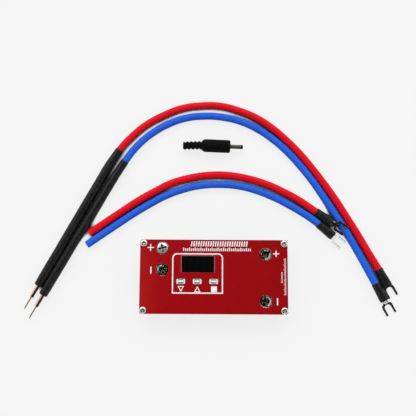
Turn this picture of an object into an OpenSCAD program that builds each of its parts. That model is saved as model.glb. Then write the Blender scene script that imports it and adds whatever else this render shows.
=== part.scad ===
// Pocket spot welder kit: a board sandwich with a display, three keys and four
// screw terminals, two welding leads, two supply leads and a loose round plug.
// Millimetres. +Z is up, +Y is the back of the unit, and the origin is the middle
// of the unit on the surface that everything lies on.

/* [Boards] */
// Length of the front panel and power board, left to right
board_l = 120; // [118:1:140]
// Width of the front panel and power board, front to back
board_w = 60; // [59:1:80]
// Thickness of each circuit board
board_t = 1.6; // [1.2:0.2:2]
// Radius of the board corners
board_r = 2; // [1:0.5:3]
// Distance from each corner screw to the board edges
corner_inset = 3; // [2.9:0.1:4]
// Height of the feet under the power board
foot_h = 5; // [5:0.5:12]
// Gap between the power board and the front panel
gap_h = 10; // [10:0.5:14]

/* [Corner fixings] */
// Width across the flats of the hexagonal spacers and feet
hex_af = 5.5; // [5:0.5:5.5]
// Diameter of the corner screws and studs
corner_thread_d = 2.9; // [2.5:0.1:2.9]
// Diameter of the screw holes in the feet
foot_hole_d = 2.5; // [2:0.1:2.6]
// Diameter of the corner screw heads
corner_head_d = 5.6; // [5:0.1:5.8]
// Height of the corner screw heads
corner_head_h = 1.9; // [1.4:0.1:2.4]

/* [Terminals] */
// Width of the square brass posts
post_w = 10; // [9:0.5:10]
// Height of the brass posts
post_h = 4; // [3:0.5:4]
// Diameter of the terminal screws
terminal_thread_d = 5; // [4:0.5:5]
// Rise of a terminal screw in one turn
terminal_pitch = 0.8; // [0.7:0.05:0.8]
// Length of the terminal screws under the head
terminal_screw_l = 8; // [7:0.5:9]
// Diameter of the terminal screw heads
terminal_head_d = 9.6; // [8.5:0.1:9.8]
// Height of the terminal screw heads
terminal_head_h = 3.7; // [3:0.1:3.8]
// Diameter of the screwdriver holes in the front panel
driver_hole_d = 10.6; // [10.2:0.1:12]
// Turns by which the left plus screw stands open
open_turns = 3; // [0:0.5:3]

/* [Display and keys] */
// Width of the display window
window_w = 26.3; // [22:0.1:26.4]
// Height of the display window
window_h = 13.3; // [10:0.1:13.6]
// Distance between the keys
key_pitch = 13.35; // [12.5:0.05:14]
// Length of a key switch
key_body_l = 7; // [6:0.5:8]
// Width of a key switch
key_body_w = 4.2; // [4:0.1:4.4]
// Height of the key tops above the front panel
key_proud = 0.4; // [0.3:0.1:1]

/* [Leads] */
// Outer diameter of the cables
cable_d = 6.2; // [5:0.1:6.2]
// Outer diameter of the sleeves on the fork ends
fork_sleeve_d = 7.2; // [7:0.1:7.4]
// Length of the sleeves on the fork ends
fork_sleeve_l = 16; // [12:0.5:16]
// Outer diameter of the welding handles
handle_d = 7.4; // [7.2:0.1:7.4]
// Diameter of the welding rods
rod_d = 3.2; // [2:0.1:4]
// Length of welding rod that shows before the needle
rod_out_l = 11; // [6:0.5:20]
// Diameter of the welding needles
needle_d = 1.3; // [0.8:0.1:1.6]
// Length of the welding needles
needle_l = 11; // [6:0.5:14]

/* [Plug] */
// Diameter of the plug's cover
plug_d = 11; // [10.6:0.1:11.1]
// Diameter of the plug's metal barrel
plug_barrel_d = 3.5; // [3.2:0.1:4]
// Length of the barrel outside the cover
plug_barrel_l = 10.8; // [8:0.2:12]

/* [Hidden] */
$fn = 64;

// Heights of the stack
power_top = foot_h + board_t;
panel_bottom = power_top + gap_h;
panel_top = panel_bottom + board_t;
control_top = panel_bottom - 2.5;
control_bottom = control_top - board_t;
washer_t = 1;
head_seat = power_top + post_h + washer_t;

// Play between a turning or sliding piece and its hole
play = 0.05;
// Overshoot that lets a cut pass right through
over = 1;

// Name, place and turns open of each screw terminal
terminals = [
    ["left_plus", [-42, 23.2], open_turns],
    ["left_minus", [-42, 5.6], 0],
    ["right_plus", [42.3, 18.5], 0],
    ["right_minus", [42.3, -19.6], 0]
];

// Keys, and the opening left round each in the panel
key_names = ["down", "up", "set"];
key_mid = [-13.4, -3.8];
key_opening = [8.4, 4.6];
key_stem = [3.3, 1.7];
key_flange = [4.3, 2.5];
key_flange_t = 0.5;
key_travel = 0.25;

// Display glass and its window, from the panel's middle
window_mid = [-12.95, 10];
glass_size = [26.7, 19.3, 1.45];
glass_min = [-26.3, 2.9];
flex_w = 12;
flex_t = 0.2;

// Control board corners
control_min = [-34, -10];
control_size = [42, 36];

// Fork terminal: barrel, neck, slot and prongs
fork_barrel_d = 5.4;
fork_barrel_l = 7;
fork_plate_t = 0.8;
fork_plate_z = -2.2;
fork_neck_w = 4.4;
fork_slot_d = 5.3;
fork_w = 9.5;
fork_l = 20;
fork_slot_l = 6.2;
fork_base_x = 10.2;
fork_base_r = 1.9;

// Welding lead internals
ferrule_l = 10;
ferrule_d = 5.8;
rod_in_ferrule = 7;
handle_wall_gap = 0.15;

// Strips that carry the control board
header_x = [-31, 4.5];
header_size = [5, 12.8];
header_mid_y = 11;
socket_h = 3.5;

// Side socket for the round plug, with its mouth on the unit's left edge
jack_size = [10.5, 7, 6.2];
jack_mouth_x = -board_l / 2 - 0.3;
jack_y = -11.5;
jack_axis_z = power_top + 3.1;
jack_hole_d = 3.7;

// Plug internals, measured along its axis from the cover's front face
cover_l = 24.7;
cover_cavity_d = 8.4;
relief_l = 15.6;
relief_neck_d = 5;
relief_bore_d = 4;
core_back = 8;
core_front = 0.6;
insulator_ring = 1.6;

// Facets of the swept cables and handles
cable_sides = 12;
handle_sides = 16;

// Routes run from the fork to the far end; each point is on the cable's axis
weld_red_route = [
    [140.3, 2.2, 3.7], [136.8, 8.7, 3.7], [129.1, 22.1, 3.2], [121, 36.5, 3.1],
    [112.5, 50.5, 3.1], [104, 64.5, 3.1], [94.5, 78.5, 3.1], [84.5, 92, 3.1],
    [74, 105, 3.1], [62.5, 117, 3.1], [50, 128, 3.1], [36.5, 137, 3.1],
    [21, 143.5, 3.1], [5, 147.5, 3.1], [-11.5, 147.7, 3.1], [-28, 145.2, 3.1],
    [-43.5, 139, 3.1], [-58, 130.8, 3.1], [-70, 120.6, 3.3], [-81, 108, 3.8],
    [-89.8, 94.4, 3.8], [-97.75, 79.85, 3.8], [-105.75, 65.35, 3.8], [-113.75, 50.85, 3.8],
    [-121.75, 36.35, 3.8], [-129.75, 21.35, 3.8], [-137.75, 6.85, 3.8], [-145.75, -7.65, 3.8]
];
weld_blue_route = [
    [138.5, -12, 3.7], [134, -3.5, 3.7], [127, 10, 3.2], [119, 25, 3.1],
    [111, 39.5, 3.1], [102.5, 53.5, 3.1], [93.5, 67.5, 3.1], [84.5, 81, 3.1],
    [74.5, 94, 3.1], [64, 106, 3.1], [52, 117, 3.1], [38.5, 126.5, 3.1],
    [24, 133.5, 3.1], [8, 137.5, 3.1], [-8.5, 138.5, 3.1], [-25, 136.5, 3.1],
    [-40, 131, 3.1], [-54, 122.5, 3.1], [-66.3, 111.3, 3.3], [-76.2, 97.95, 3.8],
    [-84.8, 84.25, 3.8], [-92.8, 70.3, 3.8], [-100.85, 55.85, 3.8], [-109.05, 41.75, 3.8],
    [-117.25, 27.85, 3.8], [-125.35, 13.4, 3.8], [-133.5, -1, 3.8], [-141.5, -15.5, 3.8]
];
supply_red_route = [
    [94, 50, 4.3], [85.5, 56, 3.75], [72.5, 65, 3.3], [58, 73, 3.1],
    [43, 79.5, 3.1], [27.5, 84, 3.1], [11.5, 86.5, 3.1], [-4.5, 86.5, 3.1],
    [-20.5, 84, 3.1], [-36, 79.5, 3.1], [-51, 71.8, 3.1], [-65, 63.6, 3.1],
    [-78.5, 54.5, 3.1], [-91.5, 45.5, 3.1], [-104.7, 36.2, 3.1]
];
supply_blue_route = [
    [93.5, 40.5, 3.7], [87, 46, 3.7], [76.5, 53.5, 3.3], [63, 61.5, 3.1],
    [49, 68.5, 3.1], [34.5, 74, 3.1], [19.5, 77.5, 3.1], [4, 78.5, 3.1],
    [-11.5, 77.5, 3.1], [-26.5, 74, 3.1], [-41, 68.5, 3.1], [-55, 60.9, 3.1],
    [-68.5, 52.6, 3.1], [-81, 44.1, 3.1], [-93.5, 35.5, 3.1], [-106.5, 26.5, 3.1]
];
// First route point that lies in a welding handle
handle_start = 19;

// Name, colour, route, sleeve length behind the cable's end, roll of the fork
weld_leads = [
    ["red", "crimson", weld_red_route, 6, 0],
    ["blue", "royalblue", weld_blue_route, 8.5, 0]
];
supply_leads = [
    ["red", "crimson", supply_red_route, 9.5, 180],
    ["blue", "royalblue", supply_blue_route, 7, 220]
];

// Plug lying on its side: place of the cover's front face, and its turn
plug_pos = [13.7, 111, 5.6];
plug_turn = -2.2;

// ---- shared shapes ----

module round_rect(size, r) {
    translate([0, -(size.y / 2 - r)])
        square([size.x, 2 * (size.y / 2 - r)], center = false);
    translate([r, -size.y / 2])
        square([size.x - 2 * r, size.y]);
    for (x = [r, size.x - r], y = [r - size.y / 2, size.y / 2 - r])
        translate([x, y]) circle(r);
}

// A flat board with round corners, centred on the origin
module board(l, w, r) {
    linear_extrude(board_t)
        translate([-l / 2, 0]) round_rect([l, w], r);
}

module at_corners() {
    for (x = [-1, 1], y = [-1, 1])
        translate([x * (board_l / 2 - corner_inset), y * (board_w / 2 - corner_inset), 0])
            children();
}

module box(size, mid) {
    translate([mid.x - size.x / 2, mid.y - size.y / 2, mid.z]) cube(size);
}

// A bar along +X with the given radius, from x0 to x1
module bar_x(r, x0, x1) {
    translate([x0, 0, 0]) rotate([0, 90, 0]) cylinder(r = r, h = x1 - x0);
}

// Pan head screw: seat of the head at z = 0, shank below, cross recess on top
module pan_screw(head_d, head_h, shank_d, shank_l, cross_l, cross_w, cross_deep) {
    edge_h = head_h * 0.5;
    difference() {
        union() {
            translate([0, 0, -shank_l]) cylinder(d = shank_d, h = shank_l + 0.1);
            rotate_extrude()
                polygon(concat(
                    [[0, 0], [head_d / 2, 0]],
                    [for (a = [0:15:90])
                        [head_d / 2 * (0.55 + 0.45 * cos(a)), edge_h + (head_h - edge_h) * sin(a)]],
                    [[0, head_h]]));
        }
        for (turn = [0, 90])
            rotate([0, 0, turn])
                translate([-cross_l / 2, -cross_w / 2, head_h - cross_deep])
                    cube([cross_l, cross_w, cross_deep + over]);
    }
}

module hex_bar(h) {
    cylinder(d = hex_af / cos(30), h = h, $fn = 6);
}

// ---- boards and fixings ----

module front_panel() {
    color("firebrick")
        translate([0, 0, panel_bottom])
            difference() {
                board(board_l, board_w, board_r);
                for (t = terminals)
                    translate([t[1].x, t[1].y, -over])
                        cylinder(d = driver_hole_d, h = board_t + 2 * over);
                at_corners()
                    translate([0, 0, -over]) cylinder(d = 3.2, h = board_t + 2 * over);
                box([window_w, window_h, board_t + 2 * over], [window_mid.x, window_mid.y, -over]);
                for (i = [-1, 0, 1])
                    box([key_opening.x, key_opening.y, board_t + 2 * over],
                        [key_mid.x + i * key_pitch, key_mid.y, -over]);
            }
}

module power_board() {
    color("firebrick")
        translate([0, 0, foot_h])
            difference() {
                board(board_l, board_w, board_r);
                at_corners()
                    translate([0, 0, -over]) cylinder(d = 3.2, h = board_t + 2 * over);
                for (t = terminals)
                    translate([t[1].x, t[1].y, -over])
                        cylinder(d = terminal_thread_d + 0.6, h = board_t + 2 * over);
            }
}

module control_board() {
    color("firebrick")
        translate([control_min.x, control_min.y + control_size.y / 2, control_bottom])
            linear_extrude(board_t) round_rect(control_size, 1);
}

module corner_screws() {
    color("silver")
        at_corners()
            translate([0, 0, panel_top])
                pan_screw(corner_head_d, corner_head_h, corner_thread_d, 6, 3.2, 0.8, 1.2);
}

module corner_spacers() {
    color("gainsboro")
        at_corners()
            translate([0, 0, power_top])
                difference() {
                    hex_bar(gap_h);
                    translate([0, 0, -over])
                        cylinder(d = corner_thread_d + 2 * play, h = gap_h + 2 * over);
                }
}

// Each foot has a blind screw hole below and a stud that holds the power board
module feet() {
    stud_l = board_t + 3;
    color("gainsboro")
        at_corners()
            difference() {
                union() {
                    hex_bar(foot_h);
                    cylinder(d = corner_thread_d, h = foot_h + stud_l);
                }
                translate([0, 0, -over]) cylinder(d = foot_hole_d, h = foot_h - 1 + over);
            }
}

// ---- display ----

module display_glass() {
    color("black")
        translate([glass_min.x, glass_min.y, panel_bottom - glass_size.z - 0.1])
            cube(glass_size);
}

module display_pad() {
    pad_h = panel_bottom - glass_size.z - 0.1 - control_top;
    color("dimgray")
        translate([glass_min.x + 1.5, glass_min.y + 1, control_top])
            cube([glass_size.x - 3, glass_size.y - 2, pad_h]);
}

// Flexible tail that turns down from the glass edge to the control board
module display_flex() {
    edge = glass_min.y + glass_size.y;
    high = panel_bottom - 0.9;
    reach = 2;
    color("darkorange")
        translate([glass_min.x + (glass_size.x - flex_w) / 2, edge, 0])
            rotate([90, 0, 90])
                linear_extrude(flex_w)
                    polygon([[0, high - flex_t], [reach - flex_t, high - flex_t],
                             [reach - flex_t, control_top], [reach, control_top],
                             [reach, high], [0, high]]);
}

// ---- keys ----

function key_place(i) = [key_mid.x + (i - 1) * key_pitch, key_mid.y];

module switch_body(i) {
    top = panel_top - 0.7;
    neck = 0.5;
    p = key_place(i);
    stem_play = 2 * play + 0.1;
    color("lightgray")
        difference() {
            box([key_body_l, key_body_w, top - control_top], [p.x, p.y, control_top]);
            box([key_stem.x + stem_play, key_stem.y + stem_play, 3], [p.x, p.y, top - neck - 0.2]);
            box([key_flange.x + stem_play, key_flange.y + stem_play, 1.2],
                [p.x, p.y, top - neck - 1.2]);
        }
}

module switch_key(i) {
    flange_top = panel_top - 1.35;
    p = key_place(i);
    color("ivory")
        union() {
            box([key_flange.x, key_flange.y, key_flange_t], [p.x, p.y, flange_top - key_flange_t]);
            box([key_stem.x, key_stem.y, panel_top + key_proud - flange_top + 0.2],
                [p.x, p.y, flange_top - 0.2]);
        }
}

// ---- terminals ----

function lift(t) = t[2] * terminal_pitch;

module terminal_post(t) {
    color("goldenrod")
        difference() {
            box([post_w, post_w, post_h], [t[1].x, t[1].y, power_top]);
            translate([t[1].x, t[1].y, power_top - over])
                cylinder(d = terminal_thread_d, h = post_h + 2 * over);
        }
}

module terminal_washer(t) {
    color("silver")
        translate([t[1].x, t[1].y, head_seat - washer_t + lift(t)])
            difference() {
                cylinder(d = 10, h = washer_t);
                translate([0, 0, -over])
                    cylinder(d = terminal_thread_d + 2 * play, h = washer_t + 2 * over);
            }
}

module terminal_screw(t) {
    color("silver")
        translate([t[1].x, t[1].y, head_seat + lift(t)])
            pan_screw(terminal_head_d, terminal_head_h, terminal_thread_d - 2 * play,
                      terminal_screw_l, 5.4, 1.3, 2.4);
}

// ---- parts on the boards ----

module mosfets() {
    body = [6.6, 6.1, 2.3];
    pitch = 8;
    tab_y = -18.5;
    color("dimgray")
        for (i = [0:7])
            translate([-28 + i * pitch, tab_y, power_top]) {
                box([5.2, 1.4, 0.5], [0, 0.7, 0]);
                box([body.x, body.y, body.z], [0, 1.1 + body.y / 2, 0]);
                for (x = [-2.3, 2.3])
                    box([0.8, 2.8, 0.5], [x, 1.1 + body.y + 1.3, 0]);
            }
}

module busbar(outline) {
    color("peru")
        translate([0, 0, power_top]) linear_extrude(2) polygon(outline);
}

// Both plus posts share one straight bar
module plus_busbar() {
    left = terminals[0][1].x + post_w / 2;
    right = terminals[2][1].x - post_w / 2;
    busbar([[left, 18.7], [right, 18.7], [right, 23], [left, 23]]);
}

// From the left minus post down and along the transistor legs
module source_busbar() {
    left = terminals[1][1].x + post_w / 2;
    busbar([[left, 9], [left, -8], [31.5, -8], [31.5, -4.5], [left + 3, -4.5], [left + 3, 9]]);
}

// From the transistor tabs to the right minus post
module drain_busbar() {
    right = terminals[3][1].x - post_w / 2;
    busbar([[-31.5, -22.5], [right, -22.5], [right, -18.5], [-31.5, -18.5]]);
}

module capacitors() {
    color("slategray")
        for (x = [18, 29])
            translate([x, 7, power_top]) {
                box([8.3, 8.3, 0.8], [0, 0, 0]);
                cylinder(d = 8, h = 7.5);
            }
}

module controller_chip() {
    color("black") box([7, 7, 1.4], [-13, 12, control_bottom - 1.4]);
}

module driver_chip() {
    color("black") box([5, 4, 1.5], [-22, 2, power_top]);
}

// Two plug and socket strips carry the control board above the power board

module header_pins(w) {
    for (r = [-0.5, 0.5], k = [-2:2])
        box([w, w, 3], [r * 2.54, k * 2.54, 0]);
}

module header_sockets() {
    color("black")
        for (x = header_x)
            translate([x, header_mid_y, power_top])
                difference() {
                    box([header_size.x, header_size.y, socket_h], [0, 0, 0]);
                    translate([0, 0, socket_h - 2.4]) header_pins(0.8);
                }
}

module header_plugs() {
    bottom = power_top + socket_h;
    color("black")
        for (x = header_x)
            translate([x, header_mid_y, 0]) {
                box([header_size.x, header_size.y, control_bottom - bottom], [0, 0, bottom]);
                translate([0, 0, bottom - 2.2]) header_pins(0.64);
            }
}

module trigger_jack() {
    color("black")
        difference() {
            box(jack_size, [jack_mouth_x + jack_size.x / 2, jack_y, power_top]);
            translate([0, jack_y, jack_axis_z])
                bar_x(jack_hole_d / 2, jack_mouth_x - over, jack_mouth_x + jack_size.x - 1);
        }
}

module trigger_jack_pin() {
    color("silver")
        translate([0, jack_y, jack_axis_z])
            bar_x(0.6, jack_mouth_x + 1, jack_mouth_x + jack_size.x - 1);
}

// ---- leads ----

function unit(v) = v / norm(v);
function tangent(p, i) = unit(p[min(i + 1, len(p) - 1)] - p[max(i - 1, 0)]);
function ring(p, i, r, n) =
    let (t = tangent(p, i), s = unit(cross([0, 0, 1], t)), u = cross(t, s))
    [for (k = [0:n - 1]) p[i] + r * (cos(360 * (k + 0.5) / n) * s + sin(360 * (k + 0.5) / n) * u)];

// Solid rod swept along route points first to last
module sweep_rod(p, first, last, r, n) {
    rings = last - first + 1;
    polyhedron(
        points = [for (i = [first:last]) each ring(p, i, r, n)],
        faces = concat(
            [[for (k = [0:n - 1]) k]],
            [for (i = [0:rings - 2], k = [0:n - 1])
                [i * n + k, (i + 1) * n + k, (i + 1) * n + (k + 1) % n, i * n + (k + 1) % n]],
            [[for (k = [n - 1:-1:0]) (rings - 1) * n + k]]));
}

// Tube swept along route points first to last
module sweep_tube(p, first, last, r_out, r_in, n) {
    rings = last - first + 1;
    inner = rings * n;
    end = (rings - 1) * n;
    polyhedron(
        points = concat(
            [for (i = [first:last]) each ring(p, i, r_out, n)],
            [for (i = [first:last]) each ring(p, i, r_in, n)]),
        faces = concat(
            [for (i = [0:rings - 2], k = [0:n - 1])
                [i * n + k, (i + 1) * n + k, (i + 1) * n + (k + 1) % n, i * n + (k + 1) % n]],
            [for (i = [0:rings - 2], k = [0:n - 1])
                [inner + i * n + (k + 1) % n, inner + (i + 1) * n + (k + 1) % n,
                 inner + (i + 1) * n + k, inner + i * n + k]],
            [for (k = [0:n - 1]) [k, (k + 1) % n, inner + (k + 1) % n, inner + k]],
            [for (k = [0:n - 1])
                [inner + end + k, inner + end + (k + 1) % n, end + (k + 1) % n, end + k]]));
}

// Puts +X along the way out of a route, from one of its points past its neighbour
module along(from, to, roll = 0) {
    v = to - from;
    translate(from)
        rotate([0, -asin(v.z / norm(v)), atan2(v.y, v.x)])
            rotate([roll, 0, 0]) children();
}

module at_fork_end(l) {
    p = l[2];
    along(p[0], 2 * p[0] - p[1], l[4]) children();
}

module at_weld_end(l) {
    p = l[2];
    along(p[len(p) - 2], p[len(p) - 1]) children();
}

module fork_outline() {
    crotch_x = fork_l - fork_slot_l;
    base_end_x = fork_base_x + fork_base_r;
    prong_w = (fork_w - fork_slot_d) / 2;
    prong_y = (fork_w - prong_w) / 2;
    difference() {
        union() {
            translate([3, -fork_neck_w / 2]) square([crotch_x - 3, fork_neck_w]);
            translate([base_end_x, -fork_w / 2]) square([crotch_x - base_end_x, fork_w]);
            translate([fork_base_x, fork_base_r - fork_w / 2])
                square([fork_base_r, fork_w - 2 * fork_base_r]);
            for (s = [-1, 1]) {
                translate([base_end_x, s * (fork_w / 2 - fork_base_r)]) circle(r = fork_base_r);
                translate([crotch_x, s * prong_y - prong_w / 2])
                    square([fork_l - prong_w / 2 - crotch_x, prong_w]);
                translate([fork_l - prong_w / 2, s * prong_y]) circle(d = prong_w);
            }
        }
        translate([crotch_x, 0]) circle(d = fork_slot_d);
        translate([crotch_x, -fork_slot_d / 2]) square([fork_l, fork_slot_d]);
    }
}

// Crimped barrel, sloped down into a flat plate with two prongs
module fork_terminal() {
    slope_l = 3;
    color("silver")
        union() {
            difference() {
                bar_x(fork_barrel_d / 2, 0, fork_barrel_l + slope_l);
                translate([fork_barrel_l, -fork_barrel_d, fork_barrel_d / 2])
                    rotate([0, atan((fork_barrel_d / 2 - fork_plate_z - fork_plate_t) / slope_l), 0])
                        cube([10, 2 * fork_barrel_d, 10]);
                translate([-over, -fork_barrel_d, fork_plate_z - 10])
                    cube([20, 2 * fork_barrel_d, 10]);
            }
            translate([0, 0, fork_plate_z]) linear_extrude(fork_plate_t) fork_outline();
        }
}

module fork_sleeve(back) {
    color("dimgray")
        difference() {
            bar_x(fork_sleeve_d / 2, -back, fork_sleeve_l - back);
            bar_x(cable_d / 2 + 0.1, -back - over, fork_sleeve_l - back + over);
        }
}

// Crimp tube that joins the cable's strands to the welding rod
module ferrule() {
    color("peru")
        difference() {
            bar_x(ferrule_d / 2, 0, ferrule_l);
            bar_x(rod_d / 2 + 0.02, ferrule_l - rod_in_ferrule, ferrule_l + over);
        }
}

// Turned copper rod with a thin needle and a short point
module electrode(l) {
    p = l[2];
    out = norm(p[len(p) - 1] - p[len(p) - 2]) + rod_out_l;
    color("peru")
        rotate([0, 90, 0])
            rotate_extrude()
                polygon([[0, ferrule_l - rod_in_ferrule], [rod_d / 2, ferrule_l - rod_in_ferrule],
                         [rod_d / 2, out - 0.4], [rod_d / 2 - 0.4, out], [needle_d / 2, out],
                         [needle_d / 2, out + needle_l - 1], [0.2, out + needle_l],
                         [0, out + needle_l]]);
}

// ---- plug, lying on its side with its barrel towards +X ----

module at_plug() {
    translate(plug_pos) rotate([0, 0, plug_turn]) children();
}

// A turned shape about the X axis, from a profile of [x, radius] points
module turned_x(profile) {
    rotate([0, 90, 0]) rotate_extrude() polygon([for (p = profile) [p.y, p.x]]);
}

module plug_cover() {
    shoulder = 2.7;
    wall = 4.7;
    color("black")
        at_plug()
            difference() {
                turned_x([[-cover_l, 0], [-cover_l, 3.9], [shoulder - cover_l, plug_d / 2],
                          [-0.8, plug_d / 2 - 0.1], [0, plug_d / 2 - 0.7], [0, 0]]);
                bar_x(cover_cavity_d / 2, wall - cover_l, over);
                bar_x(relief_neck_d / 2 + play, -cover_l - over, over);
            }
}

module plug_relief() {
    flange_x = 4.8 - cover_l;
    rear = -cover_l - relief_l;
    color("black")
        at_plug()
            difference() {
                union() {
                    bar_x(3.4, rear, -cover_l - play);
                    bar_x(relief_neck_d / 2, rear, flange_x + 1.2);
                    bar_x(3.8, flange_x, flange_x + 1.2);
                }
                bar_x(relief_bore_d / 2, rear - over, flange_x + 1.2 + over);
            }
}

// Threaded core, barrel and the solder lug of the outer contact
module plug_core() {
    color("gray")
        at_plug()
            difference() {
                union() {
                    bar_x(cover_cavity_d / 2 - play, -core_back, -core_front);
                    bar_x(plug_barrel_d / 2, -core_back, plug_barrel_l - insulator_ring);
                    translate([-core_back - 7, -1.5, -3.2]) cube([8, 3, 0.6]);
                }
                bar_x(1.2, -core_back - over, plug_barrel_l + over);
            }
}

// Liner of the barrel, with the ring that shows at its tip
module plug_insulator() {
    color("black")
        at_plug()
            difference() {
                union() {
                    bar_x(1.18, -core_back, plug_barrel_l);
                    bar_x(plug_barrel_d / 2, plug_barrel_l - insulator_ring + 0.01, plug_barrel_l);
                }
                bar_x(0.7, -core_back - over, plug_barrel_l + over);
            }
}

// ---- what is drawn ----

front_panel();
power_board();
control_board();
corner_screws();
corner_spacers();
feet();
display_glass();
display_pad();
display_flex();
controller_chip();
driver_chip();
header_sockets();
header_plugs();
mosfets();
plus_busbar();
source_busbar();
drain_busbar();
capacitors();
trigger_jack();
trigger_jack_pin();
for (i = [0:2]) {
    switch_body(i);
    switch_key(i);
}
for (t = terminals) {
    terminal_post(t);
    terminal_washer(t);
    terminal_screw(t);
}
for (l = weld_leads) {
    last = len(l[2]) - 1;
    color(l[1]) sweep_rod(l[2], 0, last - 1, cable_d / 2, cable_sides);
    color("dimgray")
            sweep_tube(l[2], handle_start, last, handle_d / 2, cable_d / 2 + handle_wall_gap,
                       handle_sides);
    at_weld_end(l) ferrule();
    at_weld_end(l) electrode(l);
    at_fork_end(l) fork_terminal();
    at_fork_end(l) fork_sleeve(l[3]);
}
for (l = supply_leads) {
    color(l[1]) sweep_rod(l[2], 0, len(l[2]) - 1, cable_d / 2, cable_sides);
    at_fork_end(l) fork_terminal();
    at_fork_end(l) fork_sleeve(l[3]);
}
plug_cover();
plug_relief();
plug_core();
plug_insulator();
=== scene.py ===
"""Looks of the pocket spot welder kit, built round its fixed frame.

Shapes are worked out in millimetres, in the frame's own axes, and are brought to metres when a
piece is made. +Z is up out of the front panel and +Y is the back of the unit.
"""

import math
from functools import partial

import bmesh
import bpy
import numpy as np
from bpy.props import FloatProperty, FloatVectorProperty, IntProperty, PointerProperty
from mathutils import Matrix, Vector
from mathutils.geometry import tessellate_polygon


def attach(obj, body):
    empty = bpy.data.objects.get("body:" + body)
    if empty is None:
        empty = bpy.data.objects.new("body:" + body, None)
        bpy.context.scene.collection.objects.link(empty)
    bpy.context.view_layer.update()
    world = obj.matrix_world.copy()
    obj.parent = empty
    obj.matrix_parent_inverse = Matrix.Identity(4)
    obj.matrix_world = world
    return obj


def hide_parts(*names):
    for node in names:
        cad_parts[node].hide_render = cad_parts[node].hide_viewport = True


bl_info = {
    "name": "Pocket Spot Welder Kit",
    "version": (1, 0, 0),
    "blender": (4, 5, 0),
    "location": "3D View > Sidebar > Welder",
    "description": "Boards, terminals, leads and plug of a pocket battery spot welder",
    "category": "Add Mesh",
}

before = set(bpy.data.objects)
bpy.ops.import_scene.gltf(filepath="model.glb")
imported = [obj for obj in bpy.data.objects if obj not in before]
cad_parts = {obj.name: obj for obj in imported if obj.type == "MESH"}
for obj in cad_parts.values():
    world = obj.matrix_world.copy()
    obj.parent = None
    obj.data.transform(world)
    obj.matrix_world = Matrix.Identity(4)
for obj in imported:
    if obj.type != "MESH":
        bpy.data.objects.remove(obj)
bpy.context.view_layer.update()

MM = 0.001
TURN = 2 * math.pi
SHARP_ANGLE = math.radians(32)
MERGE_DISTANCE = 1.5e-6

# Routes of the four cables, from the fork to the far end, in metres
ROUTES = {
    "weld_red": [
        (0.1403, 0.0022, 0.0037), (0.1368, 0.0087, 0.0037), (0.1291, 0.0221, 0.0032),
        (0.121, 0.0365, 0.0031), (0.1125, 0.0505, 0.0031), (0.104, 0.0645, 0.0031),
        (0.0945, 0.0785, 0.0031), (0.0845, 0.092, 0.0031), (0.074, 0.105, 0.0031),
        (0.0625, 0.117, 0.0031), (0.05, 0.128, 0.0031), (0.0365, 0.137, 0.0031),
        (0.021, 0.1435, 0.0031), (0.005, 0.1475, 0.0031), (-0.0115, 0.1477, 0.0031),
        (-0.028, 0.1452, 0.0031), (-0.0435, 0.139, 0.0031), (-0.058, 0.1308, 0.0031),
        (-0.07, 0.1206, 0.0033), (-0.081, 0.108, 0.0038), (-0.0898, 0.0944, 0.0038),
        (-0.09775, 0.07985, 0.0038), (-0.10575, 0.06535, 0.0038), (-0.11375, 0.05085, 0.0038),
        (-0.12175, 0.03635, 0.0038), (-0.12975, 0.02135, 0.0038), (-0.13775, 0.00685, 0.0038),
        (-0.14575, -0.00765, 0.0038),
    ],
    "weld_blue": [
        (0.1385, -0.012, 0.0037), (0.134, -0.0035, 0.0037), (0.127, 0.01, 0.0032),
        (0.119, 0.025, 0.0031), (0.111, 0.0395, 0.0031), (0.1025, 0.0535, 0.0031),
        (0.0935, 0.0675, 0.0031), (0.0845, 0.081, 0.0031), (0.0745, 0.094, 0.0031),
        (0.064, 0.106, 0.0031), (0.052, 0.117, 0.0031), (0.0385, 0.1265, 0.0031),
        (0.024, 0.1335, 0.0031), (0.008, 0.1375, 0.0031), (-0.0085, 0.1385, 0.0031),
        (-0.025, 0.1365, 0.0031), (-0.04, 0.131, 0.0031), (-0.054, 0.1225, 0.0031),
        (-0.0663, 0.1113, 0.0033), (-0.0762, 0.09795, 0.0038), (-0.0848, 0.08425, 0.0038),
        (-0.0928, 0.0703, 0.0038), (-0.10085, 0.05585, 0.0038), (-0.10905, 0.04175, 0.0038),
        (-0.11725, 0.02785, 0.0038), (-0.12535, 0.0134, 0.0038), (-0.1335, -0.001, 0.0038),
        (-0.1415, -0.0155, 0.0038),
    ],
    "supply_red": [
        (0.094, 0.05, 0.0043), (0.0855, 0.056, 0.00375), (0.0725, 0.065, 0.0033),
        (0.058, 0.073, 0.0031), (0.043, 0.0795, 0.0031), (0.0275, 0.084, 0.0031),
        (0.0115, 0.0865, 0.0031), (-0.0045, 0.0865, 0.0031), (-0.0205, 0.084, 0.0031),
        (-0.036, 0.0795, 0.0031), (-0.051, 0.0718, 0.0031), (-0.065, 0.0636, 0.0031),
        (-0.0785, 0.0545, 0.0031), (-0.0915, 0.0455, 0.0031), (-0.1047, 0.0362, 0.0031),
    ],
    "supply_blue": [
        (0.0935, 0.0405, 0.0037), (0.087, 0.046, 0.0037), (0.0765, 0.0535, 0.0033),
        (0.063, 0.0615, 0.0031), (0.049, 0.0685, 0.0031), (0.0345, 0.074, 0.0031),
        (0.0195, 0.0775, 0.0031), (0.004, 0.0785, 0.0031), (-0.0115, 0.0775, 0.0031),
        (-0.0265, 0.074, 0.0031), (-0.041, 0.0685, 0.0031), (-0.055, 0.0609, 0.0031),
        (-0.0685, 0.0526, 0.0031), (-0.081, 0.0441, 0.0031), (-0.0935, 0.0355, 0.0031),
        (-0.1065, 0.0265, 0.0031),
    ],
}
HANDLE_START = 19  # first route point inside a welding handle
WELD_LEADS = ("weld_red", "weld_blue")

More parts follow.
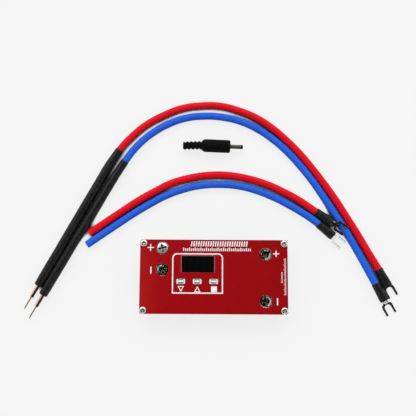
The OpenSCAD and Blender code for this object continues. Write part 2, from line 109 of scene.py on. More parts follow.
# Lead: length of its sleeve behind the cable's end, in mm, roll of its fork, in degrees, the
# fork's finish, and the cable's length from the crimp to its far end, in metres
LEADS = {
    # the weld forks' tin has near-black patches of painted reflection
    "weld_red": (6.0, 0, "reflection_flecked_tin", 0.4204),
    "weld_blue": (8.5, 0, "reflection_flecked_tin", 0.4185),
    # painted shade: this fork's finish is a darker copy of tin
    "supply_red": (9.5, 180, "shaded_tin", 0.2211),
    "supply_blue": (7.0, 220, "tin_plate", 0.2235),
}
SLEEVE_R, SLEEVE_LENGTH = 3.48, 16.0

# Terminal: centre, and rise of its screw at rest, in mm
TERMINALS = {
    "left_plus": (-42.0, 23.2, 2.4),
    "left_minus": (-42.0, 5.6, 0.0),
    "right_plus": (42.3, 18.5, 0.0),
    "right_minus": (42.3, -19.6, 0.0),
}
# Terminal screw: turn of its cross, its plating, and where its crescent of painted highlight
# is. On three screws the plating is painted shade, dark brown with painted glints
SCREW_LOOKS = {
    "left_plus": (0.25, "bright_zinc", None),
    "left_minus": (0.95, "shade_and_glint_zinc", (2.6, 0.75)),
    "right_plus": (0.55, "shade_and_glint_zinc", (-0.75, 0.55)),
    "right_minus": (0.15, "shade_and_glint_zinc", (0.1, 0.35)),
}
CORNERS = [(x, y) for x in (-57.0, 57.0) for y in (-27.0, 27.0)]
BOARD_SIZE, CORNER_HOLE = (120, 60), 1.6
KEYS = {"down": (-26.75, -3.8), "up": (-13.4, -3.8), "set": (-0.05, -3.8)}
WINDOW = (-12.95, 10.0, 26.3, 13.3)
PIN_PITCH = 2.54
HEADER_PINS = [
    (x + side * PIN_PITCH / 2, 11 + PIN_PITCH * k)
    for x in (-31.0, 4.5) for side in (-1, 1) for k in range(-2, 3)
]

# Heights of the lower and upper face of each board
PANEL_Z = (16.6, 18.2)
POWER_Z = (5.0, 6.6)
CONTROL_Z = (12.5, 14.1)
PLUG_AT, PLUG_TURN = (13.7, 111.0, 5.6), -2.2

# Stage, in metres
CAMERA_AIM, CAMERA_AWAY, CAMERA_LENS = Vector((-0.005, 0.0587, 0)), 0.52, 52.8
CAMERA_TILT, CAMERA_ROLL = math.radians(8.0), math.radians(0.33)
FLOOR_R, FLOOR_COLOUR, SEEN_FLOOR = 15, (0.92, 0.92, 0.92, 1), (0.905, 0.905, 0.905, 1)
# Height in the sky, and its level there
SKY_LEVELS = ((0.02, 0.5), (0.34, 0.97), (0.50, 0.97), (0.90, 0.03))
BAND_LEVELS = ((0.35, 0.0), (0.60, 1.35), (0.72, 1.35), (0.92, 0.0))


# ---- shapes ----


def smooth(low, high, x):
    """0 below low, 1 above high, and 3t^2 - 2t^3 between."""
    t = np.clip((np.asarray(x, float) - low) / (high - low), 0, 1)
    return t * t * (3 - 2 * t)


def around(columns):
    """Angles of a full turn, with its end the same as its start."""
    return np.linspace(0, TURN, columns + 1)


def grid(points, finish=0):
    """Faces of a grid of points, rows by columns by three. Its UV runs 0 to 1 down and across."""
    points = np.asarray(points, float)
    rows, columns = points.shape[:2]
    index = np.arange(rows * columns).reshape(rows, columns)
    faces = np.stack([index[:-1, :-1], index[:-1, 1:], index[1:, 1:], index[1:, :-1]], -1)
    faces = faces.reshape(-1, 4)
    down, across = np.meshgrid(*(np.linspace(0, 1, n) for n in (rows, columns)), indexing="ij")
    uv = np.stack([across, down], -1).reshape(-1, 2)
    return points.reshape(-1, 3), faces, uv[faces], finish


def capped(points):
    """The same grid with each end row drawn in to its middle, which closes the ends."""
    ends = [np.broadcast_to(row[:-1].mean(0), row.shape)[None] for row in (points[0], points[-1])]
    return np.concatenate([ends[0], points, ends[1]])


def turned(x, r, columns=48):
    """A profile turned about X: each row is a circle of radius r at x; r may vary round it."""
    angle = around(columns)
    x, r = (np.reshape(v, (len(x), -1)) * np.ones(columns + 1) for v in (x, r))
    return np.stack([x, r * np.cos(angle), r * np.sin(angle)], -1)


def upright(points):
    """The same shape with its X axis turned to Z."""
    return points[..., [1, 2, 0]]


def moved(points, at, axes):
    """Local points carried to a place: at + x * axes[0] + y * axes[1] + z * axes[2]."""
    return np.asarray(points, float) @ np.asarray(axes) + np.asarray(at, float)


def placed(parts, at, axes):
    """The same parts, carried to a place."""
    return [(moved(points, at, axes), *rest) for points, *rest in parts]


def axes_along(start, end, roll=0.0):
    """Unit axes with X from start to end, Y level, and both others rolled about X."""
    x = np.subtract(end, start)
    x = x / np.linalg.norm(x)
    y = np.cross((0, 0, 1), x)
    y /= np.linalg.norm(y)
    z = np.cross(x, y)
    c, s = math.cos(math.radians(roll)), math.sin(math.radians(roll))
    return np.array([x, c * y + s * z, c * z - s * y])


def smooth_path(points, step):
    """Points a step apart on the cubic whose slope at each point is half the line between its
    neighbours."""
    points = np.asarray(points, float)
    slope = np.gradient(points, axis=0)
    length = np.linalg.norm(np.diff(points, axis=0), axis=1)
    out = []
    for i, gap in enumerate(length):
        t = np.linspace(0, 1, max(2, round(gap / step)), endpoint=False)[:, None]
        out.append(
            (2 * t**3 - 3 * t**2 + 1) * points[i]
            + (t**3 - 2 * t**2 + t) * slope[i]
            + (3 * t**2 - 2 * t**3) * points[i + 1]
            + (t**3 - t**2) * slope[i + 1]
        )
    return np.concatenate(out + [points[-1:]])


def swept(path, r, columns=40):
    """Rings square to a path: path + r * (cos a * side + sin a * up), with side level."""
    along = np.gradient(path, axis=0)
    along /= np.linalg.norm(along, axis=1)[:, None]
    side = np.cross((0, 0, 1), along)
    side /= np.linalg.norm(side, axis=1)[:, None]
    up = np.cross(along, side)
    angle = around(columns)[:, None]
    r = np.broadcast_to(np.asarray(r, float).reshape(len(path), -1), (len(path), columns + 1))
    ring = np.cos(angle) * side[:, None] + np.sin(angle) * up[:, None]
    return path[:, None] + r[..., None] * ring


def shell(outer, inner):
    """The wall of a tube: its outer grid, then the inner one, back to the start."""
    return grid(np.concatenate([outer, inner[::-1], outer[:1]]))


def strip(path, across, width, thick, finish=0):
    """A flat bar along a path: corners at half the width along across, and half the thickness
    square to it and to the path, with both ends closed."""
    path = np.asarray(path, float)
    along = np.gradient(path, axis=0)
    across = np.asarray(across, float)
    flat = np.cross(along, across)
    flat /= np.linalg.norm(flat, axis=1)[:, None]
    corners = np.array([(1, 1), (-1, 1), (-1, -1), (1, -1), (1, 1)]) / 2
    points = (
        path[:, None]
        + corners[:, :1] * width * across
        + corners[:, 1:] * thick * flat[:, None]
    )
    return grid(capped(points), finish)


def ring(x, y, r, n=64):
    """Points round a circle, anticlockwise."""
    a = np.arange(n) * TURN / n
    return np.stack([x + r * np.cos(a), y + r * np.sin(a)], -1)


def rounded(x, y, w, h, r, n=7):
    """Points round a rectangle with round corners, anticlockwise."""
    a = np.linspace(0, TURN / 4, n)
    corners = [(1, 1, 0), (-1, 1, 1), (-1, -1, 2), (1, -1, 3)]
    return np.concatenate([
        np.stack([
            x + sx * (w / 2 - r) + r * np.cos(a + q * TURN / 4),
            y + sy * (h / 2 - r) + r * np.sin(a + q * TURN / 4),
        ], -1)
        for sx, sy, q in corners
    ])


def inset(loop, by):
    """Each point of an outline moved to the left of its two edges by the same distance."""
    edge = np.roll(loop, -1, 0) - loop
    edge /= np.maximum(np.linalg.norm(edge, axis=1), 1e-9)[:, None]
    left = np.stack([-edge[:, 1], edge[:, 0]], -1)
    both = left + np.roll(left, 1, 0)
    return loop + by * 2 * both / np.maximum((both**2).sum(1), 0.3)[:, None]


def slab(loops, low, high, bevel=0.1, finish=0, side=None, hole=None):
    """A flat plate: every outline rises through four levels, drawn in by the bevel at the first
    and last, and both faces are filled between outlines. Holes run clockwise."""
    walls = [finish if side is None else side] + [side if hole is None else hole] * len(loops)
    levels = [(low, bevel), (low + bevel, 0), (high - bevel, 0), (high, bevel)]
    parts, faces = [], []
    for loop, wall in zip(loops, walls):
        rows = []
        for z, drawn in levels:
            edge = inset(loop, drawn) if drawn else loop
            rows.append(np.column_stack([edge, np.full(len(edge), z)]))
        rows = np.array(rows)
        closed = np.concatenate([rows, rows[:, :1]], 1)
        parts.append(grid(closed, finish if wall is None else wall))
        faces.append((rows[0], rows[3]))
    flat = [[Vector((*p[:2], 0)) for p in top] for _, top in faces]
    corners = np.array(tessellate_polygon(flat))
    for which in (0, 1):
        points = np.concatenate([f[which] for f in faces])
        parts.append((points, corners, points[corners][..., :2] / 10, finish))
    return parts


def block(x, y, low, size, r=0.3, bevel=0.1, finish=0):
    """A slab with round corners that stands on the height low."""
    return slab([rounded(x, y, size[0], size[1], r, 4)], low, low + size[2], bevel, finish)


def add_object(name, data):
    """A new object in the scene."""
    made = bpy.data.objects.new(name, data)
    bpy.context.scene.collection.objects.link(made)
    return made


def make_piece(name, parts, finishes, body, slot, *replaces):
    """Joins parts into one mesh in metres, merges what touches, turns faces outwards, keeps
    edges sharp past an angle, and puts the piece on its body. Finishes are named in a line."""
    points, faces, uvs, marks, start = [], [], [], [], 0
    for verts, polys, uv, mark in parts:
        points.append(verts)
        faces += (polys + start).tolist()
        uvs.append(uv.reshape(-1, 2))
        marks.append(np.broadcast_to(mark, len(polys)))
        start += len(verts)
    mesh = bpy.data.meshes.new(name)
    mesh.from_pydata((np.concatenate(points) * MM).tolist(), [], faces)
    mesh.uv_layers.new(name="UVMap").data.foreach_set("uv", np.concatenate(uvs).ravel())
    mesh.polygons.foreach_set("material_index", np.concatenate(marks))
    shape = bmesh.new()
    shape.from_mesh(mesh)
    bmesh.ops.remove_doubles(shape, verts=shape.verts, dist=MERGE_DISTANCE)
    bmesh.ops.recalc_face_normals(shape, faces=shape.faces)
    shape.to_mesh(mesh)
    shape.free()
    mesh.shade_smooth()
    mesh.set_sharp_from_angle(angle=SHARP_ANGLE)
    for known in finishes.split():
        mesh.materials.append(finish(known))
    piece = add_object(name, mesh)
    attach(piece, body)
    if replaces:
        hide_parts(*replaces)
    return piece


# ---- finishes ----


def add_node(tree, kind, fields=(), **inputs):
    """A shader node with its fields set, and each input set or linked from a socket. An input
    is given by name, with underscores for spaces, or by number after an underscore."""
    made = tree.nodes.new("ShaderNode" + kind)
    for field, value in fields:
        setattr(made, field, value)
    for key, value in inputs.items():
        socket = made.inputs[int(key[1:]) if key[1:].isdigit() else key.replace("_", " ")]
        if isinstance(value, bpy.types.NodeSocket):
            tree.links.new(value, socket)
        else:
            socket.default_value = value
    return made


def add_ramp(tree, fac, stops, easing="LINEAR"):
    """A ramp of fac over stops: a place from 0 to 1, and a colour or one grey level."""
    made = add_node(tree, "ValToRGB", Fac=fac)
    made.color_ramp.interpolation = easing
    points = made.color_ramp.elements
    while len(points) < len(stops):
        points.new(0.5)
    for point, (at, tone) in zip(points, stops):
        point.position = at
        point.color = (*tone, 1) if hasattr(tone, "__len__") else (tone, tone, tone, 1)
    return made.outputs["Color"]


class Finish:
    """One material. Its methods add nodes: some give the socket that the next one reads, and
    paint, gloss, relief and mottle feed the shader. Sizes are in millimetres, on the object's
    own coordinates."""

    made = {}

    def __init__(self, colour, rough, metal=0.0, **sockets):
        self.colour, self.rough, self.heights = tuple(colour), rough, []
        self.material = bpy.data.materials.new("finish")
        self.material.use_nodes = True
        self.tree = self.material.node_tree
        self.shader = self.tree.nodes["Principled BSDF"].inputs
        sockets.update(Base_Color=(*colour, 1), Roughness=rough, Metallic=metal)
        for key, value in sockets.items():
            self.shader[key.replace("_", " ")].default_value = value
        coordinates = self.node("TexCoord").outputs
        self.place, self.uv = coordinates["Object"], coordinates["UV"]

    def node(self, kind, fields=(), **inputs):
        """A node in this material's tree."""
        return add_node(self.tree, kind, fields, **inputs)

    def feed(self, socket, name):
        """Links a socket to an input of the shader."""
        self.tree.links.new(socket, self.shader[name])
        return self

    def stretched(self, stretch):
        """Object coordinates, times a factor along each axis."""
        return self.node("Mapping", Vector=self.place, Scale=stretch).outputs[0]

    def noise(self, size, detail=3, vector=None):
        """Soft noise from 0 to 1, whose patches are about a size across."""
        return self.node("TexNoise", Vector=vector or self.place, Scale=1 / (size * MM),
                         Detail=detail, Roughness=0.55).outputs["Fac"]

    def waves(self, size, axis, distort=0.0):
        """Sine bands from 0 to 1 that repeat at each size along an axis."""
        fields = [("wave_type", "BANDS"), ("bands_direction", axis), ("wave_profile", "SIN")]
        return self.node("TexWave", fields, Vector=self.place, Scale=TURN / 20 / (size * MM),
                         Distortion=distort, Detail=1.0).outputs["Fac"]

    def ramp(self, fac, *stops):
        """A ramp of fac over stops."""
        return add_ramp(self.tree, fac, stops)

    def blend(self, fac, a, b, how="MIX"):
        """Two colours, mixed by fac."""
        fields = [("data_type", "RGBA"), ("blend_type", how)]
        return self.node("Mix", fields, _0=fac, _6=a, _7=b).outputs[2]

    def sum(self, a, b, scale):
        """a + b * scale."""
        return self.node("Math", [("operation", "MULTIPLY_ADD")], _0=b, _1=scale, _2=a).outputs[0]

    def paint(self, socket):
        """Takes the colour from a socket."""
        return self.feed(socket, "Base Color")

    def gloss(self, fac, spread):
        """As fac goes from 0 to 1, roughness goes from spread under its level to spread over it."""
        low, high = max(self.rough - spread, 0.02), min(self.rough + spread, 1)
        made = self.node("MapRange", Value=fac, To_Min=low, To_Max=high)
        return self.feed(made.outputs[0], "Roughness")

    def relief(self, height, depth):
        """Height 0 to 1 raises the surface by depth, in millimetres."""
        before = {"Normal": self.heights[-1]} if self.heights else {}
        made = self.node("Bump", Height=height, Distance=depth * MM, Strength=1.0, **before)
        self.heights.append(made.outputs[0])
        return self.feed(made.outputs[0], "Normal")

    def mottle(self, size, amount):
        """Mixes the colour with a darker and a lighter shade of itself, by soft noise."""
        darker = tuple(c * (1 - amount) for c in self.colour)
        lighter = tuple(min(c * (1 + amount), 1) for c in self.colour)
        return self.paint(self.ramp(self.noise(size, 4), (0.3, darker), (0.7, lighter)))


def finish(name):
    """The material of that name, made once."""
    if name not in Finish.made:
        Finish.made[name] = FINISHES[name]().material
        Finish.made[name].name = name
    return Finish.made[name]


def colours():
    """The colour settings of the scene."""
    return bpy.context.scene.welder_colours


def surface(colour, rough, metal, mottle, gloss, *reliefs, **sockets):
    """Recipe of an even material. Soft noise mottles its colour, by a size and an amount; finer
    noise varies its roughness, by size, detail and spread; each relief is noise with a size, a
    detail, a depth and, where it is drawn out, a stretch. A colour may be a setting's name."""
    def recipe():
        tone = getattr(colours(), colour) if isinstance(colour, str) else colour
        f = Finish(tone, rough, metal, **sockets).mottle(*mottle)
        if gloss:
            f.gloss(f.noise(*gloss[:2]), gloss[2])
        for size, detail, depth, *stretch in reliefs:
            f.relief(f.noise(size, detail, *map(f.stretched, stretch)), depth)
        return f
    return recipe


def metal(colour, rough, spread=0.12, scratch=0.004, stretch=(1, 1, 6)):
    """Bare or plated metal: cloudy tone, uneven polish and fine drawn scratches."""
    return surface(colour, rough, 1.0, (1.6, 0.10), (0.7, 5, spread),
                   (0.25, 4, scratch, stretch), (1.1, 3, scratch * 1.5))


def moulded(colour, rough, grain=0.25, depth=0.01, mottle=0.2, **sockets):
    """Moulded plastic or epoxy: fine spark grain and uneven gloss."""
    return surface(colour, rough, 0.0, (2.2, mottle), (0.9, 4, 0.08), (grain, 3, depth),
                   **sockets)


def flecked(ground, flecks):
    """Plated metal with rougher patches of another tone, where soft noise passes a level."""
    def recipe():
        f = Finish(ground, 0.12, 1.0)
        patches = f.noise(1.5, 2)
        f.paint(f.ramp(patches, (0.50, ground), (0.60, flecks)))
        f.gloss(f.ramp(patches, (0.50, 0.3), (0.60, 1.0)), 0.2)
        return f.relief(f.noise(0.6, 3), 0.02)
    return recipe


def board_mask():
    """Glossy solder mask: even colour, a faint woven glass grain and soft dust."""
    f = Finish(colours().board, 0.34, Specular_IOR_Level=0.12)
    split = f.node("SeparateXYZ", Vector=f.place).outputs
    # painted reflection: colour goes from lighter at the left end to darker at the right
    across = f.sum(split["X"], f.noise(60, 2), 0.03)
    reflection_fade = f.node("MapRange", Value=across, From_Min=-0.062, From_Max=0.06).outputs[0]
    deep, dark = f.colour * np.array([[0.75, 0.10, 0.35], [0.67, 0.08, 0.25]])
    tone = f.ramp(reflection_fade, (0.0, f.colour), (0.25, deep), (1.0, dark))
    # the dark tone ends the painted reflection and also tints the soft dust
    f.paint(f.blend(0.08, tone, f.ramp(f.noise(9, 4), (0.3, dark), (0.7, f.colour))))
    f.gloss(f.noise(2.5, 4), 0.08)
    weave = f.blend(0.5, f.waves(0.9, "X", 0.6), f.waves(0.9, "Y", 0.6), "MULTIPLY")
    return f.relief(weave, 0.006).relief(f.noise(0.15, 2), 0.004)


def board_edge():
    """Sawn glass fibre edge: pale layers with rough fibres."""
    f = Finish((0.66, 0.50, 0.30), 0.7)
    layers = f.waves(0.28, "Z", 1.5)
    f.paint(f.ramp(layers, (0.2, (0.50, 0.34, 0.18)), (0.8, (0.76, 0.62, 0.42))))
    return f.relief(f.noise(0.12, 4), 0.03)


def rod_copper():
    """Turned copper: fine rings along the rod, soft polish and a brown heat stain along one
    side, which fades out over the top."""
    f = Finish(colours().copper, 0.24, 1.0)
    stain = f.ramp(f.noise(1.8, 5), (0.3, (0.66, 0.40, 0.28)), (0.62, f.colour))
    edge = f.sum(f.node("SeparateXYZ", Vector=f.uv).outputs["X"], f.noise(1.2, 4), 0.05)
    # painted shade: near-black brown down one side of the rod, set by the place round it
    side = f.ramp(edge, (0.0, 1.0), (0.20, 1.0), (0.29, 0.0), (0.82, 0.0), (0.9, 1.0))
    f.paint(f.blend(side, stain, (0.075, 0.03, 0.018, 1)))
    f.gloss(f.noise(0.5, 4), 0.1)
    rings = f.node("TexWave", [("bands_direction", "Y")], Vector=f.uv, Scale=60.0).outputs["Fac"]
    return f.relief(rings, 0.006).relief(f.noise(0.3, 3), 0.006)


def shrink_sleeve():
    """Heat shrink tube: black satin with fine lengthwise wrinkles and a dull bloom."""
    f = Finish(colours().sleeve, 0.36, Specular_IOR_Level=0.2)
    f.paint(f.ramp(f.noise(2.5, 6), (0.35, (0.004, 0.004, 0.004)), (0.7, f.colour)))
    f.gloss(f.noise(1.5, 5), 0.1)
    fine = f.node("Mapping", Vector=f.uv, Scale=(34, 9, 1)).outputs[0]
    wrinkles = f.node("TexNoise", Vector=fine, Scale=1.0, Detail=4.0).outputs["Fac"]
    f.relief(wrinkles, 0.16).relief(f.noise(1.1, 3), 0.10)
    return f.relief(f.noise(0.2, 3), 0.012)


def display_pane():
    """Polished dark glass over a faint blue grey cell with fine upright bands."""
    f = Finish((0.002, 0.003, 0.005), 0.06, Coat_Weight=0.6, Coat_Roughness=0.03)
    bands = f.waves(5.5, "X", 0.3)
    f.paint(f.ramp(bands, (0.3, (0.001, 0.0015, 0.002)), (0.9, (0.0015, 0.0022, 0.0035))))
    return f.gloss(f.noise(6, 5), 0.03)


def printed_film():
    """Amber film over fine copper tracks."""
    f = Finish((0.42, 0.17, 0.03), 0.3, Coat_Weight=0.3)
    tracks = f.waves(0.7, "X")
    f.paint(f.ramp(tracks, (0.45, (0.30, 0.11, 0.02)), (0.55, (0.62, 0.30, 0.10))))
    return f.relief(tracks, 0.02)


def strand_end():
    """Cut tinned strands: packed dots."""
    f = Finish((0.60, 0.52, 0.44), 0.4, 1.0)
    cells = f.node("TexVoronoi", Vector=f.place, Scale=1 / (0.16 * MM)).outputs["Distance"]
    f.paint(f.ramp(cells, (0.1, (0.75, 0.68, 0.6)), (0.6, (0.12, 0.08, 0.06))))
    return f.relief(cells, -0.05)


FINISHES = {
    "solder_mask_red": board_mask,
    "glass_fibre_edge": board_edge,
    # painted shade: dark brown walls of the panel's holes, where the outer edge is pale
    "drilled_edge": surface((0.17, 0.06, 0.025), 0.7, 0.0, (0.5, 0.35), None, (0.12, 4, 0.03)),
    "legend_white": surface("legend", 0.55, 0.0, (0.8, 0.06), None, (0.12, 3, 0.008)),
    # paler pink band round three sides of the display window
    "bare_margin": moulded((0.42, 0.09, 0.11), 0.5, mottle=0.1),
    "zinc_plate": metal((0.80, 0.79, 0.76), 0.17, 0.08),
    # painted shade with painted glints: dark brown ground of screws in their holes, bright patches
    "shade_and_glint_zinc": flecked((0.055, 0.036, 0.024), (0.95, 0.91, 0.82)),
    # painted highlight: pale, barely glossy crescent on the terminal screw heads
    "rubbed_zinc": moulded((0.95, 0.91, 0.83), 0.3, mottle=0.1),
    "bright_zinc": metal((0.93, 0.92, 0.90), 0.34, 0.1),
    # painted shade: darker metal inside the crosses of the terminal and corner screws
    "cross_recess": metal((0.12, 0.10, 0.08), 0.3),
    "corner_recess": metal((0.58, 0.60, 0.53), 0.3),
    "nickel_plate": metal((0.72, 0.69, 0.62), 0.3),
    "tin_plate": metal((0.80, 0.80, 0.79), 0.17, 0.08, 0.01),
    # painted reflection: near-black patches stand in for the dark sky seen in the tin
    "reflection_flecked_tin": flecked((0.80, 0.80, 0.79), (0.03, 0.03, 0.028)),
    # painted shade: a darker copy of the tin for the fork that lies in shade
    "shaded_tin": flecked((0.30, 0.28, 0.23), (0.05, 0.04, 0.03)),
    # painted reflection: the steel case is near white and barely metallic, its shine put in its
    # colour
    "switch_steel": surface((0.95, 0.94, 0.90), 0.3, 0.06, (1.2, 0.06), (0.6, 4, 0.1),
                            (0.3, 3, 0.006, (6, 1, 1))),
    "post_brass": metal((0.78, 0.56, 0.22), 0.3),
    "bar_copper": metal((0.80, 0.42, 0.26), 0.34, stretch=(6, 1, 1)),
    "needle_copper": metal((0.42, 0.31, 0.23), 0.36),
    "plug_barrel": metal((0.085, 0.085, 0.068), 0.3),
    "can_aluminium": metal((0.80, 0.81, 0.83), 0.28),
    "rod_copper": rod_copper,
    "shrink_black": shrink_sleeve,
    "plug_plastic": moulded((0.0035, 0.0035, 0.004), 0.48, mottle=0.3, Specular_IOR_Level=0.05),
    "ring_black": moulded((0.004, 0.004, 0.004), 0.4, Specular_IOR_Level=0.06),
    "chip_epoxy": moulded((0.022, 0.022, 0.024), 0.6, 0.12, 0.012),
    "header_nylon": moulded((0.016, 0.016, 0.017), 0.45),
    "key_ivory": moulded((0.94, 0.93, 0.87), 0.45, mottle=0.04),
    # painted shade: near-black key foot, so the gap round the key shows dark
    "key_foot": moulded((0.06, 0.055, 0.045), 0.5),
    "foam_black": moulded((0.025, 0.025, 0.025), 0.9, 0.3, 0.08),
    "can_mark": moulded((0.02, 0.02, 0.025), 0.5),
    "display_pane": display_pane,
    "amber_film": printed_film,
    "solder": surface((0.74, 0.74, 0.72), 0.24, 1.0, (0.9, 0.15), (0.6, 5, 0.14), (0.8, 3, 0.06)),
    "strand_end": strand_end,
}
for hue in ("red", "blue"):
    FINISHES["silicone_" + hue] = surface(
        hue + "_cable", 0.36, 0.0, (5, 0.07), (1.2, 5, 0.07), (0.7, 3, 0.012), (0.12, 2, 0.004),
        Specular_IOR_Level=0.06,
    )


# ---- leads ----


def route(lead):
    """Points of a cable's route, in millimetres."""
    return np.array(ROUTES[lead]) / MM


def body_of(lead):
    """Name of the body that a lead's pieces ride on."""
    return lead.replace("_", "_lead_")


def fork_frame(lead):
    """Origin at the cable's fork end, with X leading straight out of it, and the fork's roll."""
    p = route(lead)
    return p[0], axes_along(p[1], p[0], LEADS[lead][1])


def weld_frame(lead):
    """Origin at the cable's end inside the handle, with X towards the rod."""
    p = route(lead)
    return p[-2], axes_along(p[-2], p[-1])


def make_cable(lead):
    """A round cable through the route's points, which its automatic handles keep smooth."""
    points = ROUTES[lead][:-1] if lead in WELD_LEADS else ROUTES[lead]
    hue = lead.split("_")[1]
    curve = bpy.data.curves.new(lead + "_cable_skin", "CURVE")
    curve.dimensions = "3D"
    curve.bevel_depth = bpy.context.scene.welder_sizes.cable_diameter / 2
    curve.bevel_resolution = curve.resolution_u = 8
    curve.use_fill_caps = True
    spline = curve.splines.new("BEZIER")
    spline.bezier_points.add(len(points) - 1)
    spline.bezier_points.foreach_set("co", np.ravel(points))
    for point in spline.bezier_points:
        point.handle_left_type = point.handle_right_type = "AUTO"
    curve.materials.append(finish("silicone_" + hue))
    cable = add_object(curve.name, curve)
    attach(cable, body_of(lead))
    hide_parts(lead + "_cable")
    return cable


def make_handle(lead):
    """Sleeve over the cable's end: radius grows from snug on the cable to the full handle, with
    slow lumps, slanted creases where it widens, and a turned-in lip at both ends."""
    full = bpy.context.scene.welder_sizes.handle_diameter / 2 / MM
    path = smooth_path(route(lead)[HANDLE_START:], 0.8)
    s = np.concatenate([[0], np.cumsum(np.linalg.norm(np.diff(path, axis=0), axis=1))])[:, None]
    a = around(48)
    r = SLEEVE_R + (full - SLEEVE_R) * smooth(6, 24, s) - 0.12 * smooth(s[-1] - 9, s[-1] - 1, s)
    r = r + 0.04 * np.sin(s / 8.3 + 1.1) * smooth(6, 20, s) + 0.03 * np.sin(2 * a + s / 13)
    window = smooth(6, 12, s) * (1 - smooth(24, 34, s))
    r = r + 0.06 * window * np.sin(3 * a + s * 0.8) - 0.02
    r = r - 0.22 * (1 - smooth(0, 0.5, np.minimum(s, s[-1] - s)))
    bore = np.full(len(path), 3.16)
    wall = shell(swept(path, r, 48), swept(path, bore, 48))
    make_piece(lead + "_handle_sleeve", [wall], "shrink_black", body_of(lead), "sleeve_black",
               lead + "_handle")


def make_rod(lead):
    """Copper rod with a chamfered shoulder, and a thin needle that tapers to its point."""
    sizes = bpy.context.scene.welder_sizes
    rod, needle = sizes.rod_diameter / 2 / MM, sizes.needle_diameter / 2 / MM
    start, bare_length = 3.4, 11
    end = float(np.linalg.norm(route(lead)[-1] - route(lead)[-2])) + bare_length
    rod_x = np.concatenate([np.linspace(start, end - 0.5, 60), [end - 0.25, end, end + 0.02]])
    rod_r = np.array([rod] * 60 + [rod - 0.12, rod - 0.4, needle + 0.12])
    tip_x = end + np.array([0.0, 0.3, 3, 6, 8.5, 9.8, 10.6, 10.95, 11.0])
    tip_r = needle * np.array([1.15, 1.0, 1.0, 0.98, 0.94, 0.8, 0.5, 0.2, 0.02])
    parts = [grid(capped(turned(rod_x, rod_r, 40))), grid(capped(turned(tip_x, tip_r, 24)), 1)]
    make_piece(lead + "_welding_rod", placed(parts, *weld_frame(lead)),
               "rod_copper needle_copper", body_of(lead), "copper", lead + "_electrode")


def make_fork_sleeve(lead):
    """Short sleeve: round on the cable, wider and flatter over the crimp, with creases there."""
    back = LEADS[lead][0]
    x = np.linspace(-back, SLEEVE_LENGTH - back, 56)[:, None]
    a = around(48)
    s = x + back
    front = smooth(5, 13, s)
    r = SLEEVE_R + 0.08 * smooth(1, 5, s) + 0.04 * np.sin(s * 1.1 + 2 * a)
    r = r + 0.10 * front * np.sin(7 * a + s * 0.5) * np.sin(s * 0.9)
    r = r - 0.2 * (1 - smooth(0, 0.5, np.minimum(s, SLEEVE_LENGTH - s)))

    def tube(radius):
        """Rows round the cable, wider and flatter towards the front."""
        y = radius * np.cos(a) * (1 + 0.11 * front)
        z = radius * np.sin(a) * (1 - 0.20 * front)
        return np.stack([np.broadcast_to(x, y.shape), y, z], -1)

    bore = 3.12
    wall = placed([shell(tube(r), tube(bore))], *fork_frame(lead))
    make_piece(lead + "_fork_wrap", wall, "shrink_black", body_of(lead), "sleeve_black",
               lead + "_fork_sleeve")


def fork_outline():
    """Neck, a base with round corners, and two prongs with round tips either side of a slot
    whose bottom is a half circle."""
    mid, out_r, in_r, neck, base, corner, tip = 13.8, 4.75, 2.65, 2.2, 10.2, 1.9, 18.95
    prong, prong_r = (out_r + in_r) / 2, (out_r - in_r) / 2

    def arc(x, y, r, start, end, n):
        """Points of a circle's arc between two angles."""
        a = np.radians(np.linspace(start, end, n))
        return np.stack([x + r * np.cos(a), y + r * np.sin(a)], -1)

    right = np.concatenate([
        [(3.0, -neck), (base - 0.5, -neck), (base, -neck - 0.3)],
        arc(base + corner, corner - out_r, corner, 180, 270, 9),
        arc(tip, -prong, prong_r, -90, 90, 13),
        arc(mid, 0, in_r, 270, 180, 14),
    ])
    return np.concatenate([right, right[::-1][1:] * (1, -1)])


def make_fork(lead):
    """Tinned fork: a crimped barrel whose round section is squashed smoothly into the plate."""
    x = np.linspace(0.05, 11.3, 46)[:, None]
    a = around(40)
    flat = smooth(6.2, 10.6, x)
    power = 1 - 0.55 * flat
    y = np.sign(np.cos(a)) * np.abs(np.cos(a)) ** power * (2.7 - 0.55 * flat)
    z = np.sign(np.sin(a)) * np.abs(np.sin(a)) ** power * (2.7 - 2.36 * flat) - 1.8 * flat
    z = z - 0.35 * np.exp(-((x - 3.2) / 1.3) ** 2) * np.maximum(np.sin(a), 0)
    barrel = np.stack([np.broadcast_to(x, y.shape), y, z], -1)
    parts = [grid(capped(barrel))] + slab([fork_outline()], -2.2, -1.4, 0.16)
    make_piece(lead + "_fork_terminal", placed(parts, *fork_frame(lead)), LEADS[lead][2],
               body_of(lead), "tin", lead + "_fork")


def make_cut_end(lead):
    """Cut strands that stand just proud of the cable's square end."""
    p = route(lead)
    a = around(32)
    r = np.array([2.05, 2.05, 1.6, 0.8])[:, None]
    x = np.array([-0.3, 0.05, 0.16, 0.22])[:, None] + 0.04 * np.sin(9 * a) * (r > 0.7)
    strands = grid(capped(np.stack([x, r * np.cos(a), r * np.sin(a)], -1)))
    return make_piece(lead + "_cut_strands", placed([strands], p[-1], axes_along(p[-2], p[-1])),
                      "strand_end", body_of(lead), "copper")


def make_cables():
    """The four cables, and what each one carries."""
    for lead, (*_, length) in LEADS.items():
        cable = make_cable(lead)
        carried = ["_fork_terminal", "_fork_wrap"]
        if lead in WELD_LEADS:
            carried += ["_handle_sleeve", "_welding_rod"]
            last, far_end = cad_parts[lead + "_ferrule"], "tool"
        else:
            last, far_end = make_cut_end(lead), "bare"


# ---- plug ----


def on_plug(points):
    """Points on the plug, whose tip points along X, carried to where it lies."""
    c, s = math.cos(math.radians(PLUG_TURN)), math.sin(math.radians(PLUG_TURN))
    return moved(points, PLUG_AT, [(c, s, 0), (-s, c, 0), (0, 0, 1)])


